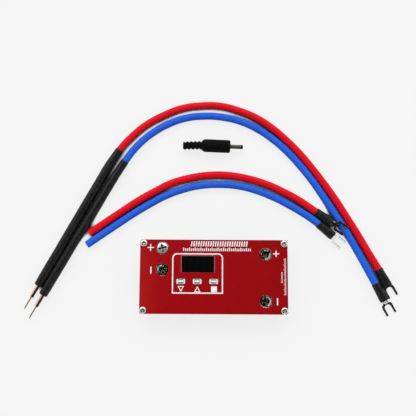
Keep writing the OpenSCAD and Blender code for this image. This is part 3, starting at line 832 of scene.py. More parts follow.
def make_plug_cover():
    """Hollow cover: cone, fluted body whose radius dips evenly round it, and a rounded front."""
    flutes = bpy.context.scene.welder_sizes.plug_flutes
    profile = np.array([
        (-24.7, 2.56), (-24.7, 3.5), (-24.5, 3.75), (-23.4, 4.7), (-22.3, 5.3), (-21.6, 5.48),
        *[(x, 5.5) for x in np.linspace(-20.8, -1.6, 26)],
        (-1.0, 5.42), (-0.55, 5.2), (-0.2, 4.85), (0, 4.4), (0, 4.2), (-6, 4.2), (-20, 4.2),
        (-20, 2.56), (-24.7, 2.56),
    ])
    x, r = profile[:, :1], profile[:, 1:]
    body = smooth(-22.2, -20.6, x) * (1 - smooth(-2.2, -1.2, x)) * (r > 5.3)
    r = r - 0.16 * body * (0.5 - 0.5 * np.cos(flutes * around(6 * flutes))) ** 0.7
    make_piece("plug_cover_shell", [grid(on_plug(turned(x, r, 6 * flutes)))], "plug_plastic",
               "plug_shell", "plug_black", "plug_cover")


def make_plug_tail():
    """Cable relief: one rib wound as a helix on a tapered tube, which droops to the rear."""
    pitch = bpy.context.scene.welder_sizes.relief_pitch / MM
    x = np.linspace(-40.3, -24.78, 150)[:, None]
    phase = (x - x[0]) / pitch * TURN - around(48)
    rib = np.clip(0.5 + 0.75 * np.cos(phase), 0, 1)
    taper = 0.006 * (x + 40.3)
    r = 2.85 + taper + (0.6 + taper) * rib
    r = r * (1 - 0.12 * (1 - smooth(-40.3, -39.9, x)))
    outer = turned(x, r)
    neck = turned([-24.76, -24.7, -19.95, -19.9, -18.75, -18.7, -18.7],
                  [2.6, 2.48, 2.48, 3.8, 3.8, 3.7, 2.0])
    inner = turned([-24.7, -40.3], [2.0, 2.0])
    points = np.concatenate([outer, neck, inner, outer[:1]])
    rear = np.clip(-24.7 - points[..., 0], 0, None) / 15.6
    points[..., 1] -= rear**1.6
    make_piece("plug_tail_relief", [grid(on_plug(points))], "plug_plastic", "plug_tail",
               "plug_black", "plug_relief")


def make_plug_barrel():
    """Barrel and its threaded root: the root's radius is a saw wave along the axis."""
    root_x = np.linspace(-8, -0.6, 60)
    root_r = 4.14 - 0.18 * np.abs(2 * ((root_x / 0.75) % 1) - 1)
    x = np.concatenate([[-8.0], root_x, [-0.6, -0.58, 0.3, 0.34], np.linspace(0.5, 8.9, 24),
                        [9.15, 9.2, 9.2, -8.0]])
    r = np.concatenate([[1.2], root_r, [3.9, 2.3, 2.3, 1.9], np.full(24, 1.75),
                        [1.7, 1.62, 1.2, 1.2]])
    lug = slab([rounded(-11.5, 0, 7, 3, 0.6)], -3.2, -2.6, 0.1)
    parts = [(on_plug(points), *rest) for points, *rest in [grid(turned(x, r, 40)), *lug]]
    make_piece("plug_barrel_core", parts, "plug_barrel", "plug", "plug_steel", "plug_core")


def make_plug_ring():
    """Black liner of the barrel, which shows as a rounded ring at its tip."""
    x = [-8, 9.15, 9.21, 9.25, 9.4, 10.5, 10.7, 10.8, 10.8, -8, -8]
    r = [1.17, 1.17, 1.17, 1.74, 1.84, 1.84, 1.76, 1.55, 0.7, 0.7, 1.17]
    make_piece("plug_tip_ring", [grid(on_plug(turned(x, r, 40)))], "ring_black", "plug",
               "plug_black", "plug_insulator")


# ---- screws and fixings ----


def cross_screw(x, y, seat, head, shank, cross, pitch, turn=0.0, rubbed=None):
    """Pan head screw. The head's height falls as a circle's arc outside half its radius. The
    cross, turned about Z, is the larger of two soft-edged slots. The thread is a saw wave along
    a helix. A rubbed crescent is where the cosine of the angle from its middle passes a limit,
    outside 0.64 of the radius."""
    (head_r, head_h), (shank_r, shank_l), (arm, width, deep) = head, shank, cross
    columns = 96
    a = around(columns)
    rho = np.concatenate([np.linspace(0, 0.7, 30), np.linspace(0.72, 1, 12)])[:, None]
    edge = max(head_h * 0.5, head_h - 1.1)
    top = edge + (head_h - edge) * np.sqrt(1 - np.clip((rho - 0.5) / 0.5, 0, 1) ** 2)
    top = top - 0.03 * head_h * rho
    px, py = rho * head_r * np.cos(a), rho * head_r * np.sin(a)

    def slot(u, v):
        """1 in one slot of the cross, falling softly to 0 at its edges."""
        return smooth(-0.05, 0.3, arm / 2 - abs(u)) * smooth(-0.08, 0.14, width / 2 - abs(v))

    along = px * np.cos(turn) + py * np.sin(turn)
    across = py * np.cos(turn) - px * np.sin(turn)
    cut = np.maximum(slot(along, across), slot(across, along))
    cut = np.maximum(cut, 0.9 * smooth(-0.1, 0.3, width * 0.85 - np.hypot(px, py)))
    dome = np.stack([px, py, top - deep * cut * (1 - 0.35 * rho)], -1)
    z = np.linspace(-0.2, -shank_l + 0.6, max(12, int(shank_l / pitch * 9)))[:, None]
    saw = np.abs(2 * ((z / pitch - a / TURN) % 1) - 1)
    thread = shank_r - 0.09 * pitch - 0.38 * pitch * saw * smooth(-0.3, -1.2, z)
    under = turned([0.12, 0.0, 0.0, -0.15], [head_r, head_r - 0.1, shank_r, shank_r - 0.06],
                   columns)
    body = turned(np.broadcast_to(z, thread.shape), thread, columns)
    end = turned([-shank_l + 0.5, -shank_l, -shank_l],
                 [shank_r * 0.86, shank_r * 0.7, 0.0], columns)
    rows = np.concatenate([dome, upright(np.concatenate([under, body, end]))])
    marks = np.zeros((len(rows) - 1, columns), int)
    # painted shade: faces down in the cross take the second finish, a darker metal
    marks[: len(dome) - 1] = (cut[:-1, :-1] + cut[1:, 1:]) > 0.9
    # painted highlight: a pale crescent on the head's rim takes the third finish
    if rubbed:
        crescent = (rho[:-1] > 0.64) & (np.cos(a[:-1] - rubbed[0]) > rubbed[1])
        marks[: len(dome) - 1][crescent] = 2
    return grid(rows + (x, y, seat), marks.ravel())


def hexagonal(z, scale, bore):
    """Rows of a hexagonal bar with corners on X: half the width over the cosine of the angle
    from the nearest flat, cut to a circle where scale is under 1. Bore rows are circles."""
    half_width, corner_r, columns = 2.75, 3.18, 96
    a = around(columns)
    flat = half_width / np.cos(a % (TURN / 6) - TURN / 12)
    rows = [np.minimum(flat, corner_r * k) if k else np.full(len(a), b)
            for k, b in zip(scale, bore)]
    return upright(turned(z, np.array(rows), columns))


def make_corner_fixings():
    """Four domed screws, four spacers and four feet with studs."""
    screws, spacers, feet = [], [], []
    for x, y in CORNERS:
        screws.append(cross_screw(x, y, PANEL_Z[1], head=(2.8, 1.9), shank=(1.45, 6),
                                  cross=(3.2, 0.8, 1.2), pitch=0.5))
        low, high = POWER_Z[1], PANEL_Z[0]
        tube = hexagonal(
            [low, low, low + 0.35, high - 0.35, high, high, high, low],
            [0, 0.88, 1, 1, 0.88, 0, 0, 0], [1.5, 0, 0, 0, 0, 1.6, 1.5, 1.5],
        )
        spacers.append(grid(tube + (x, y, 0)))
        foot = hexagonal(
            [9.6, 9.6, 9.3, 5, 5, 4.65, 0.35, 0, 0, 0.3, 4, 4],
            [0, 0, 0, 0, 0.88, 1, 1, 0.88, 0, 0, 0, 0],
            [0, 1.2, 1.45, 1.45, 0, 0, 0, 0, 1.45, 1.25, 1.25, 0],
        )
        feet.append(grid(foot + (x, y, 0)))
    make_piece("corner_screw_heads", screws, "zinc_plate corner_recess", "unit", "zinc_steel",
               "corner_screws")
    make_piece("hex_spacers", spacers, "nickel_plate", "unit", "nickel", "corner_spacers")
    make_piece("hex_feet", feet, "nickel_plate", "unit", "nickel", "feet")


# ---- boards ----


def board_outlines(driver_hole, n):
    """A large board's outline, and its driver and corner holes."""
    loops = [rounded(0, 0, *BOARD_SIZE, 2, 10)]
    loops += [ring(x, y, driver_hole, n)[::-1] for x, y, _ in TERMINALS.values()]
    return loops + [ring(x, y, CORNER_HOLE, 32)[::-1] for x, y in CORNERS]


def make_front_panel():
    """Board with its four driver holes, corner holes, display window and key openings."""
    loops = board_outlines(5.3, 72) + [rounded(*WINDOW, 0.35, 4)[::-1]]
    loops += [rounded(x, y, 8.4, 4.6, 0.5, 4)[::-1] for x, y in KEYS.values()]
    # the hole walls take the third finish, painted shade
    make_piece("panel_board", slab(loops, *PANEL_Z, 0.07, 0, 1, 2),
               "solder_mask_red glass_fibre_edge drilled_edge", "unit", "red_board",
               "front_panel")


def make_legend():
    """Printed marks on the panel: signs, display frame, key signs and plain hatched rules. The
    board's bare margin shows round three sides of the window."""
    low, high = PANEL_Z[1] - 0.01, PANEL_Z[1] + 0.035
    marks = []

    def mark(*loops):
        """A thin plate of ink."""
        marks.extend(slab(list(loops), low, high, 0.012))

    def bar(x, y, w, h):
        """A filled rectangle with its corners just rounded."""
        mark(rounded(x, y, w, h, min(w, h, 1.0) * 0.15, 3))

    def plus(x, y, size, stroke):
        """Three corners of one arm, turned by quarter turns."""
        s, t = size / 2, stroke / 2
        quarter = np.array([(s, -t), (s, t), (t, t)])
        turn = [np.array([(c, -n), (n, c)]) for c, n in ((1, 0), (0, 1), (-1, 0), (0, -1))]
        mark(np.concatenate([quarter @ m.T for m in turn]) + (x, y))

    def triangle(x, y, w, h, stroke):
        """A hollow triangle, pointing down where its height is negative."""
        corners = np.array([(-w / 2, -h / 2), (w / 2, -h / 2), (0, h / 2)])
        if h < 0:
            corners = corners[::-1]
        mark(corners + (x, y), inset(corners, stroke)[::-1] + (x, y))

    plus(-51.5, 23.4, 5.5, 0.8)
    bar(-51.0, 5.0, 1.0, 5.7)
    plus(50.6, 18.8, 4.9, 0.9)
    bar(51.4, -19.7, 1.0, 5.8)
    x0, x1, y0, y1, r = -33.8, 7.5, -13.7, 18.9, 4.0
    a = np.linspace(0, TURN / 4, 9)

    def frame_loop(d):
        """Outline drawn in by d: square corners below, and quarter circles above."""
        rr = r - d
        right = np.stack([x1 - r + rr * np.cos(a), y1 - r + rr * np.sin(a)], -1)
        left = np.stack([x0 + r - rr * np.sin(a), y1 - r + rr * np.cos(a)], -1)
        low_edge = [(x0 + d, y0 + d), (x1 - d, y0 + d)]
        return np.concatenate([low_edge, right, left])

    mark(frame_loop(0), frame_loop(1.0)[::-1])
    triangle(-26.6, -10.0, 5.2, -4.8, 0.65)
    triangle(-13.3, -10.0, 5.3, 5.0, 0.65)
    bar(0.2, -10.1, 4.7, 4.7)
    lean = np.array([(-0.45, -2.1), (0.55, -2.1), (1.15, 2.1), (0.15, 2.1)])
    for x in np.arange(-18.4, 27.4, 1.95):
        mark(lean + (x, 26.6))
    for k, x in enumerate(np.arange(-24.6, 31.2, 1.55)):
        tall = 2.8 if k % 3 == 0 else 2.2
        bar(x, 22.1 - (2.8 - tall) / 2, 0.8, tall)
    for k, y in enumerate(np.arange(-14.2, 15.4, 1.0)):
        wide = 1.9 if k % 4 == 0 else 1.3
        bar(57.6 + (1.9 - wide) / 2, y, wide, 0.45)
    for y in np.arange(-4.4, 4.4, 1.0):
        bar(55.2, y, 1.2, 0.45)
    x, y, w, h = WINDOW
    # a paler pink band round three sides of the window
    for side in (-1, 1):
        marks += block(x + side * (w + 0.75) / 2, y, low, (0.55, h, 0.03), 0.1, 0.01, 1)
    marks += block(x, y + (h + 0.75) / 2, low, (w + 1.3, 0.55, 0.03), 0.1, 0.01, 1)
    make_piece("panel_legend", marks, "legend_white bare_margin", "unit", "red_board")


def joint_dome(x, y, z, r, h, down=False):
    """Solder fillet: height falls from its pin to its rim in a hollow curve, set at seven
    parts of its radius."""
    rho = np.array([0.22, 0.3, 0.45, 0.65, 0.85, 1.0, 1.0])
    rise = np.array([1.0, 0.8, 0.5, 0.25, 0.08, 0.0, -0.1]) * h
    rows = upright(turned(rise * (-1 if down else 1), rho * r, 16))
    return grid(capped(rows) + (x, y, z))


def make_power_board():
    """Main board, its bottom tinning and the joints under its pins."""
    bottom = POWER_Z[0]
    make_piece("main_board", slab(board_outlines(2.8, 40), *POWER_Z, 0.09, 0, 1),
               "solder_mask_red glass_fibre_edge", "unit", "red_board", "power_board")
    joints = [joint_dome(x, y, bottom, 0.85, 0.7, True) for x, y in HEADER_PINS]
    for x, y, _ in TERMINALS.values():
        outer, inner = ring(x, y, 4.3, 48), ring(x, y, 3.0, 48)[::-1]
        joints += slab([outer, inner], bottom - 0.25, bottom + 0.02, 0.1)
    socket_pins = [(x, y) for x in (-59 + 3.2, -53.0) for y in (-14.0, -9.0)]
    joints += [joint_dome(x, y, bottom, 0.9, 0.7, True) for x, y in socket_pins]
    beads = ((0, 20.9, 70, 3.2), (0, -20.5, 62, 3.2), (-14, -6.2, 36, 2.6))
    for x, y, w, h in beads:
        joints += slab([rounded(x, y, w, h, 1.2)], bottom - 0.3, bottom + 0.02, 0.14)
    make_piece("bottom_tinning", joints, "solder", "unit", "tin")


def make_control_board():
    """Small board under the panel, with its pin joints and a row of tiny parts."""
    top = CONTROL_Z[1]
    make_piece("display_board", slab([rounded(-13, 8, 42, 36, 1)], *CONTROL_Z, 0.09, 0, 1),
               "solder_mask_red glass_fibre_edge", "unit", "red_board", "control_board")
    bits, ends = [], []
    for x in (-30.5 + 4.2 * k for k in range(9)):
        bits += block(x, -8.2, top, (0.9, 0.8, 0.45), 0.05, 0.05)
        for side in (-0.62, 0.62):
            ends += block(x + side, -8.2, top, (0.35, 0.82, 0.48), 0.05, 0.05)
    ends += [joint_dome(x, y, top, 0.85, 0.75) for x, y in HEADER_PINS]
    ends = [(*part, 1) for *part, _ in ends]
    make_piece("small_board_parts", bits + ends, "chip_epoxy solder", "unit", "chip_black")


def make_chips():
    """Two packages with chamfered tops and bent legs along two sides."""
    chips = {
        "controller_chip": (-13, 12, CONTROL_Z[0], 7, 7, -1),
        "driver_chip": (-22, 2, POWER_Z[1], 5, 4, 1),
    }
    for node, (x, y, z, w, h, way) in chips.items():
        parts = block(x, y, 0.12, (w - 1.0, h, 1.15), 0.2, 0.18)
        count = int(h / 0.8)
        for side in (-1, 1):
            for k in range(count):
                ly = y + (k - (count - 1) / 2) * 0.8
                edge = x + side * (w / 2 - 0.55)
                path = [(edge, ly, 0.62), (edge + side * 0.22, ly, 0.6),
                        (edge + side * 0.3, ly, 0.1), (edge + side * 0.55, ly, 0.06)]
                parts.append(strip(path, (0, 1, 0), 0.36, 0.12, 1))
        make_piece(node + "_package", placed(parts, (0, 0, z), np.diag([1, 1, way])),
                   "chip_epoxy tin_plate", "unit", "chip_black", node)


def make_transistors():
    """Eight flat power packages: tab, drafted body and two bent legs each."""
    parts = []
    y, z = -18.5, POWER_Z[1]
    for x in (-28.0 + 8 * k for k in range(8)):
        parts += slab([rounded(x, y + 0.9, 5.2, 1.9, 0.25, 4)], z, z + 0.5, 0.06, 1)
        parts += block(x, y + 1.1 + 3.05, z + 0.02, (6.6, 6.1, 2.26), 0.25, 0.22)
        for side in (-2.3, 2.3):
            edge = y + 1.1 + 6.1
            path = [(x + side, edge - 0.3, z + 1.0), (x + side, edge + 0.5, z + 0.98),
                    (x + side, edge + 0.95, z + 0.3), (x + side, edge + 2.6, z + 0.26)]
            parts.append(strip(path, (1, 0, 0), 0.8, 0.48, 1))
    make_piece("power_transistors", parts, "chip_epoxy tin_plate", "unit", "chip_black",
               "mosfets")


def make_busbars():
    """Three copper bars, eased along their edges, soldered down in beads."""
    z = POWER_Z[1]
    bars = {
        "plus_busbar": [(-37, 18.7), (37.3, 18.7), (37.3, 23), (-37, 23)],
        "source_busbar": [(-37, -8), (31.5, -8), (31.5, -4.5), (-33, -4.5), (-33, 9), (-37, 9)],
        "drain_busbar": [(-31.5, -22.5), (37.3, -22.5), (37.3, -18.5), (-31.5, -18.5)],
    }
    for node, outline in bars.items():
        make_piece(node + "_copper", slab([np.array(outline, float)], z, z + 2, 0.18),
                   "bar_copper", "unit", "copper", node)
    beads = [joint_dome(x, 18.5, z, 0.9, 0.9) for x in np.arange(-33, 34, 6.0)]
    beads += [joint_dome(x, -8.2, z, 0.8, 0.8) for x in np.arange(-30, 30, 4.0)]
    make_piece("busbar_beads", beads, "solder", "unit", "tin")


def make_capacitors():
    """Cans on square bases: the can's radius dips at its rolled groove, and a dark sector
    marks the negative side."""
    z = POWER_Z[1]
    a = np.linspace(2.2, 4.08, 20)
    sector = 3.2 * np.stack([np.cos(a), np.sin(a)], -1)
    profile = [(0.9, 3.7), (1.0, 3.95), (1.5, 4.0), (1.9, 3.72), (2.3, 3.72), (2.7, 4.0),
               (7.0, 4.0), (7.3, 3.92), (7.48, 3.7), (7.44, 3.3), (7.42, 0.4)]
    can = capped(upright(turned(*zip(*profile))))
    cans = []
    for x in (18.0, 29.0):
        cans += slab([rounded(x, 7, 8.3, 8.3, 0.9, 2)], z, z + 1.0, 0.1, 1)
        cans.append(grid(can + (x, 7, z)))
        cans += slab([sector + (x, 7)], z + 7.4, z + 7.47, 0.01, 2)
    make_piece("storage_capacitors", cans, "can_aluminium header_nylon can_mark", "unit",
               "can_aluminium", "capacitors")


def make_trigger_socket():
    """Moulded socket body with a round mouth, a metal liner and its middle pin."""
    y, z = -11.5, POWER_Z[1] + 3.1
    shell_loops = [rounded(y, z, 7, 6.2, 0.4, 4), ring(y, z, 1.95, 40)[::-1]]
    parts = slab(shell_loops, -60.3, -51.0, 0.15)
    parts += slab([rounded(y, z, 6.9, 6.1, 0.4, 4)], -51.05, -49.8, 0.15)
    parts = placed(parts, (0, 0, 0), [(0, 1, 0), (0, 0, 1), (1, 0, 0)])
    liner = turned([-60.25, -60.25, -51.1, -51.1, -60.25], [1.86, 2.0, 2.0, 1.86, 1.86], 40)
    parts.append(grid(liner + (0, y, z), 1))
    make_piece("trigger_socket_body", parts, "header_nylon nickel_plate", "unit",
               "header_black", "trigger_jack")
    pin = turned([-59.3, -59.2, -58.9, -50.8], [0.05, 0.35, 0.6, 0.6], 20)
    make_piece("trigger_socket_pin", [grid(capped(pin) + (0, y, z))], "nickel_plate", "unit",
               "tin", "trigger_jack_pin")


# ---- display, keys and terminals ----


def make_display():
    """Glass cell with eased edges, a darker bonded layer and its foam pad."""
    x, y, w, h = -12.95, 12.55, 26.7, 19.3
    parts = block(x, y, 15.82, (w, h, 0.68), 0.2, 0.07)
    parts += block(x, y - 0.9, 15.05, (w, h - 1.8, 0.76), 0.2, 0.07, 1)
    make_piece("display_cell", parts, "display_pane ring_black", "unit", "display_glass",
               "display_glass")
    make_piece("display_foam", block(x, y, CONTROL_Z[1], (w - 3, h - 2, 0.94), 0.4, 0.12),
               "foam_black", "unit", "foam", "display_pad")


def make_keys():
    """Key switches: a pressed steel case over a black base, and an ivory key with a crowned
    top that slides in it."""
    top, board = 17.5, CONTROL_Z[1]
    crown = ((0.98, 16.3), (1.0, 16.4), (1.0, 18.25), (0.97, 18.42), (0.9, 18.52),
             (0.7, 18.585), (0.4, 18.6))
    for name, (x, y) in KEYS.items():
        mouth = [rounded(x, y, 7.1, 4.2, 0.45, 5), rounded(x, y, 4.2, 2.8, 0.25, 3)[::-1]]
        skirt = [rounded(x, y, 6.9, 4.05, 0.4, 4), rounded(x, y, 4.7, 3.1, 0.2, 3)[::-1]]
        # painted shade: the mouth's wall takes the black nylon finish, so the gap round the key
        # shows dark
        case = slab(mouth, top - 0.45, top, 0.1, hole=1)
        case += slab(skirt, board + 0.9, top - 0.4, 0.05)
        for dx in (-2.75, 2.75):
            for dy in (-1.45, 1.45):
                case += block(x + dx, y + dy, top - 0.05, (0.6, 0.6, 0.16), 0.25, 0.06)
        case += block(x, y, board, (7.0, 4.1, 0.95), 0.3, 0.1, 1)
        for side in (-1, 1):
            leg = [(x + side * out, y, z)
                   for out, z in ((3.5, 15.6), (3.75, 15.5), (3.8, 14.3), (4.3, 14.2))]
            case.append(strip(leg, (0, 1, 0), 1.6, 0.18))
        make_piece("key_case_" + name, case, "switch_steel header_nylon", "unit",
                   "switch_steel", "switch_body_" + name)
        rim = rounded(x, y, 3.9, 1.55, 0.25, 5)
        rim = np.concatenate([rim, rim[:1]])
        rows = [np.column_stack([(x, y) + (rim - (x, y)) * k, np.full(len(rim), z)])
                for k, z in crown]
        key = [grid(capped(np.array(rows)))]
        # painted shade: the key's foot is near black, so it shows dark round the key
        key += block(x, y, 16.35, (4.4, 2.5, 0.4), 0.2, 0.06, 1)
        make_piece("key_button_" + name, key, "key_ivory key_foot", "key_" + name,
                   "key_ivory", "switch_key_" + name)


def make_terminals():
    """Brass posts, plated washers and cross head screws."""
    board = POWER_Z[1]
    for name, (x, y, rise) in TERMINALS.items():
        post = slab([rounded(x, y, 10, 10, 0.5, 5), ring(x, y, 2.5, 48)[::-1]], board,
                    board + 4, 0.25)
        post += slab([rounded(x, y, 11.2, 11.2, 1.2, 5), rounded(x, y, 9.9, 9.9, 0.5, 5)[::-1]],
                     board - 0.01, board + 0.3, 0.14, 1)
        make_piece("terminal_post_" + name, post, "post_brass solder", "unit", "brass",
                   "post_" + name)
        seat = board + 5 + rise
        washer = slab([ring(x, y, 5), ring(x, y, 2.55, 48)[::-1]], seat - 1, seat, 0.14)
        make_piece("flat_washer_" + name, washer, "zinc_plate", name + "_washer", "zinc_steel",
                   "washer_" + name)
        turn, plating, rubbed = SCREW_LOOKS[name]
        screw = cross_screw(x, y, seat, head=(4.8, 3.7), shank=(2.45, 8),
                            cross=(7.0, 1.3, 2.4), pitch=0.8, turn=turn, rubbed=rubbed)
        # the cross takes painted shade and the crescent a painted highlight
        make_piece("terminal_screw_" + name, [screw], plating + " cross_recess rubbed_zinc",
                   name + "_screw", "zinc_steel", "screw_" + name)


def dress_frame_nodes():
    """Gives its finish to each frame part that stays as it is."""
    kept = {
        "display_flex": "amber_film", "header_sockets": "header_nylon",
        "header_plugs": "header_nylon", "weld_red_ferrule": "bar_copper",
        "weld_blue_ferrule": "bar_copper",
    }
    for node, name in kept.items():
        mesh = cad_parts[node].data
        mesh.materials.clear()
        mesh.materials.append(finish(name))


# ---- stage ----


def make_stage():
    """Camera, pale floor, a soft lamp and a sky that is darker overhead."""
    camera = add_object("Camera", bpy.data.cameras.new("Camera"))
    camera.data.sensor_width, camera.data.lens = 36, CAMERA_LENS
    camera.data.clip_start, camera.data.clip_end = 0.02, 20
    turn = Matrix.Rotation(CAMERA_TILT, 4, "X") @ Matrix.Rotation(CAMERA_ROLL, 4, "Z")
    away = turn.col[2].to_3d() * CAMERA_AWAY
    camera.matrix_world = Matrix.Translation(CAMERA_AIM + away) @ turn
    bpy.context.scene.camera = camera

    mesh = bpy.data.meshes.new("floor")
    edge = [(math.cos(a) * FLOOR_R, math.sin(a) * FLOOR_R, 0) for a in around(96)[:-1]]
    mesh.from_pydata(edge, [], [list(range(96))])
    mesh.materials.append(floor_paint())
    add_object("floor", mesh)

    lamp = bpy.data.lights.new("softbox", "AREA")
    lamp.shape = "RECTANGLE"
    lamp.size, lamp.size_y, lamp.energy = 2.4, 1.6, 20.0
    softbox = add_object("softbox", lamp)
    softbox.location = (-0.25, 1.3, 1.75)
    aim = CAMERA_AIM - softbox.location
    softbox.rotation_euler = aim.to_track_quat("-Z", "Y").to_euler()

    world = bpy.data.worlds.new("studio")
    bpy.context.scene.world = world
    world.use_nodes = True
    studio_sky(world.node_tree)
    bpy.context.scene.view_settings.view_transform = "Standard"


def studio_sky(tree):
    """Level of the sky against height, and a bright band half way up at the back. Where the
    camera sees past the floor's edge, the sky has the floor's own tone."""
    place = add_node(tree, "TexCoord").outputs["Generated"]
    split = add_node(tree, "SeparateXYZ", _0=place).outputs
    back = add_node(tree, "MapRange", [("interpolation_type", "SMOOTHSTEP")], Value=split["Y"],
                    From_Min=-0.2, From_Max=0.6)
    low = add_ramp(tree, split["Z"], SKY_LEVELS, "EASE")
    band = add_ramp(tree, split["Z"], BAND_LEVELS, "EASE")
    lit = add_node(tree, "VectorMath", [("operation", "MULTIPLY_ADD")], _0=band,
                   _1=back.outputs[0], _2=low)
    seen = add_node(tree, "LightPath").outputs["Is Camera Ray"]
    shown = add_node(tree, "Mix", [("data_type", "RGBA")], _0=seen, _6=lit.outputs[0],
                     _7=SEEN_FLOOR)
    sky = tree.nodes["Background"].inputs
    tree.links.new(shown.outputs[2], sky["Color"])
    sky["Strength"].default_value = 1.0


def floor_paint():
    """Matt floor. Where it is seen, in the open or in a reflection, it is mostly its own pale
    tone, which fails in narrow gaps, with a share of the light and shadow that falls on it. To
    soft light thrown back up at the kit it is plain grey."""
    material = bpy.data.materials.new("floor_paint")
    material.use_nodes = True
    tree = material.node_tree
    tree.nodes.clear()
    ray = add_node(tree, "LightPath").outputs
    seen = ray["Is Camera Ray"]
    for kind in ("Is Glossy Ray", "Is Transmission Ray"):
        seen = add_node(tree, "Math", [("operation", "MAXIMUM")], _0=seen, _1=ray[kind]).outputs[0]
    # painted shade: the floor's own tone goes dark in narrow gaps by ambient occlusion
    open_sky = add_node(tree, "AmbientOcclusion", [("samples", 32)], Distance=0.02)
    tone = add_node(tree, "MapRange", Value=open_sky.outputs["AO"], From_Min=0.26, From_Max=0.37)
    own = add_node(tree, "Emission", Color=FLOOR_COLOUR, Strength=tone.outputs[0])
    lit = add_node(tree, "BsdfDiffuse", Color=FLOOR_COLOUR)
    shown = add_node(tree, "MixShader", _0=0.14, _1=own.outputs[0], _2=lit.outputs[0])
    thrown = add_node(tree, "BsdfDiffuse", Color=(0.38, 0.38, 0.38, 1))
    both = add_node(tree, "MixShader", _0=seen, _1=thrown.outputs[0], _2=shown.outputs[0])
    add_node(tree, "OutputMaterial", Surface=both.outputs[0])
    return material


# ---- settings, operators and panel ----


def length_property(name, description, default, low, high):
    """A size in metres."""
    return FloatProperty(name=name, description=description, default=default, min=low,
                         max=high, unit="LENGTH", precision=5)


def colour_property(name, description, default):
    """A linear colour."""
    return FloatVectorProperty(name=name, description=description, default=default,
                               subtype="COLOR", size=3, min=0, max=1)


class WelderSizes(bpy.types.PropertyGroup):
    """Sizes that a user would change."""

    cable_diameter: length_property(
        "Cable diameter", "Outer diameter of the four cables", 0.0062, 0.004, 0.0062)
    handle_diameter: length_property(
        "Handle diameter", "Outer diameter of the welding handles", 0.0075, 0.007, 0.0076)
    rod_diameter: length_property(
        "Rod diameter", "Diameter of the copper welding rods", 0.0032, 0.002, 0.004)
    needle_diameter: length_property(
        "Needle diameter", "Diameter of the needles on the rods", 0.0013, 0.0008, 0.0016)
    plug_flutes: IntProperty(
        name="Plug flutes", description="Flutes round the plug's cover",
        default=30, min=12, max=60)
    relief_pitch: length_property(
        "Relief pitch", "Rise of the plug tail's rib in one turn", 0.0034, 0.002, 0.005)


class WelderColours(bpy.types.PropertyGroup):
    """Colours that a user would change, as linear values."""

    board: colour_property("Board", "Solder mask of the boards", (0.44, 0.015, 0.013))
    legend: colour_property("Legend", "Printed marks on the panel", (0.90, 0.88, 0.88))
    red_cable: colour_property("Red cable", "Silicone of the plus leads", (0.76, 0.006, 0.016))
    blue_cable: colour_property("Blue cable", "Silicone of the minus leads", (0.024, 0.125, 0.72))
    sleeve: colour_property("Sleeves", "Heat shrink on handles and forks", (0.018, 0.018, 0.018))
    copper: colour_property("Rods", "Copper of the welding rods", (0.84, 0.58, 0.45))


class WelderOperator(bpy.types.Operator):
    """Base of the operators; each one makes its pieces in the frame."""

    bl_options = {"REGISTER", "UNDO"}
    steps = ()

    def execute(self, context):
        """Runs the steps in order."""
        for step in self.steps:
            step()
        return {"FINISHED"}


def operator(name, label, text, *steps):
    """An operator class that runs the given steps."""
    return type("Add" + name.title().replace("_", ""), (WelderOperator,), {
        "__doc__": text, "bl_idname": "welder." + name, "bl_label": label, "steps": steps,
    })


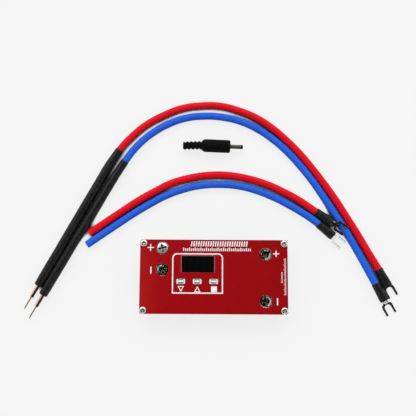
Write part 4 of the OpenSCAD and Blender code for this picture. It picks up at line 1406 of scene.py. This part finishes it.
CLASSES = [
    operator("stage", "Stage", "Makes the camera, the floor, the lamp and the sky", make_stage),
    operator("handles", "Welding handles", "Makes the sleeves of both welding handles",
             *[partial(make_handle, lead) for lead in WELD_LEADS]),
    operator("rods", "Welding rods", "Makes both copper rods with their needles",
             *[partial(make_rod, lead) for lead in WELD_LEADS]),
    operator("forks", "Fork terminals", "Makes the four tinned fork terminals and their sleeves",
             *[partial(make, lead) for lead in LEADS for make in (make_fork, make_fork_sleeve)]),
    operator("cables", "Cables", "Makes the four cables and says what each one carries",
             make_cables),
    operator("plug", "Plug", "Makes the loose round plug", make_plug_cover, make_plug_tail,
             make_plug_barrel, make_plug_ring),
    operator("front_panel", "Front panel", "Makes the front panel board", make_front_panel),
    operator("legend", "Legend", "Makes the marks printed on the panel", make_legend),
    operator("fixings", "Corner fixings", "Makes screws, spacers and feet", make_corner_fixings),
    operator("display", "Display", "Makes the display glass and its pad", make_display),
    operator("keys", "Keys", "Makes the three key switches", make_keys),
    operator("terminals", "Terminals", "Makes posts, washers and screws", make_terminals),
    operator("power_board", "Power board", "Makes the main board", make_power_board),
    operator("control_board", "Control board", "Makes the small board", make_control_board),
    operator("chips", "Chips", "Makes the two chips", make_chips),
    operator("transistors", "Transistors", "Makes the power transistors", make_transistors),
    operator("busbars", "Busbars", "Makes the copper bars", make_busbars),
    operator("capacitors", "Capacitors", "Makes the storage capacitors", make_capacitors),
    operator("trigger_socket", "Trigger socket", "Makes the side socket", make_trigger_socket),
    operator("frame_nodes", "Kept parts", "Dresses the parts that stay", dress_frame_nodes),
]


class WELDER_PT_pieces(bpy.types.Panel):
    """Lists the pieces and the settings"""

    bl_label = "Spot Welder Kit"
    bl_space_type = "VIEW_3D"
    bl_region_type = "UI"
    bl_category = "Welder"

    def draw(self, context):
        """A button for each operator, then each setting."""
        for kind in CLASSES:
            self.layout.operator(kind.bl_idname, text=kind.bl_label)
        for settings in (context.scene.welder_sizes, context.scene.welder_colours):
            for key in settings.__annotations__:
                self.layout.prop(settings, key)


def register():
    """Registers the classes and hangs the settings on the scene."""
    for kind in (WelderSizes, WelderColours, *CLASSES, WELDER_PT_pieces):
        bpy.utils.register_class(kind)
    bpy.types.Scene.welder_sizes = PointerProperty(type=WelderSizes)
    bpy.types.Scene.welder_colours = PointerProperty(type=WelderColours)


def unregister():
    """Undoes register."""
    del bpy.types.Scene.welder_colours, bpy.types.Scene.welder_sizes
    for kind in reversed((WelderSizes, WelderColours, *CLASSES, WELDER_PT_pieces)):
        bpy.utils.unregister_class(kind)


def main():
    """Makes every piece in order, and writes the boxes before and after."""
    register()
    for kind in CLASSES:
        group, name = kind.bl_idname.split(".")
        getattr(getattr(bpy.ops, group), name)()


if __name__ == "__main__":
    main()
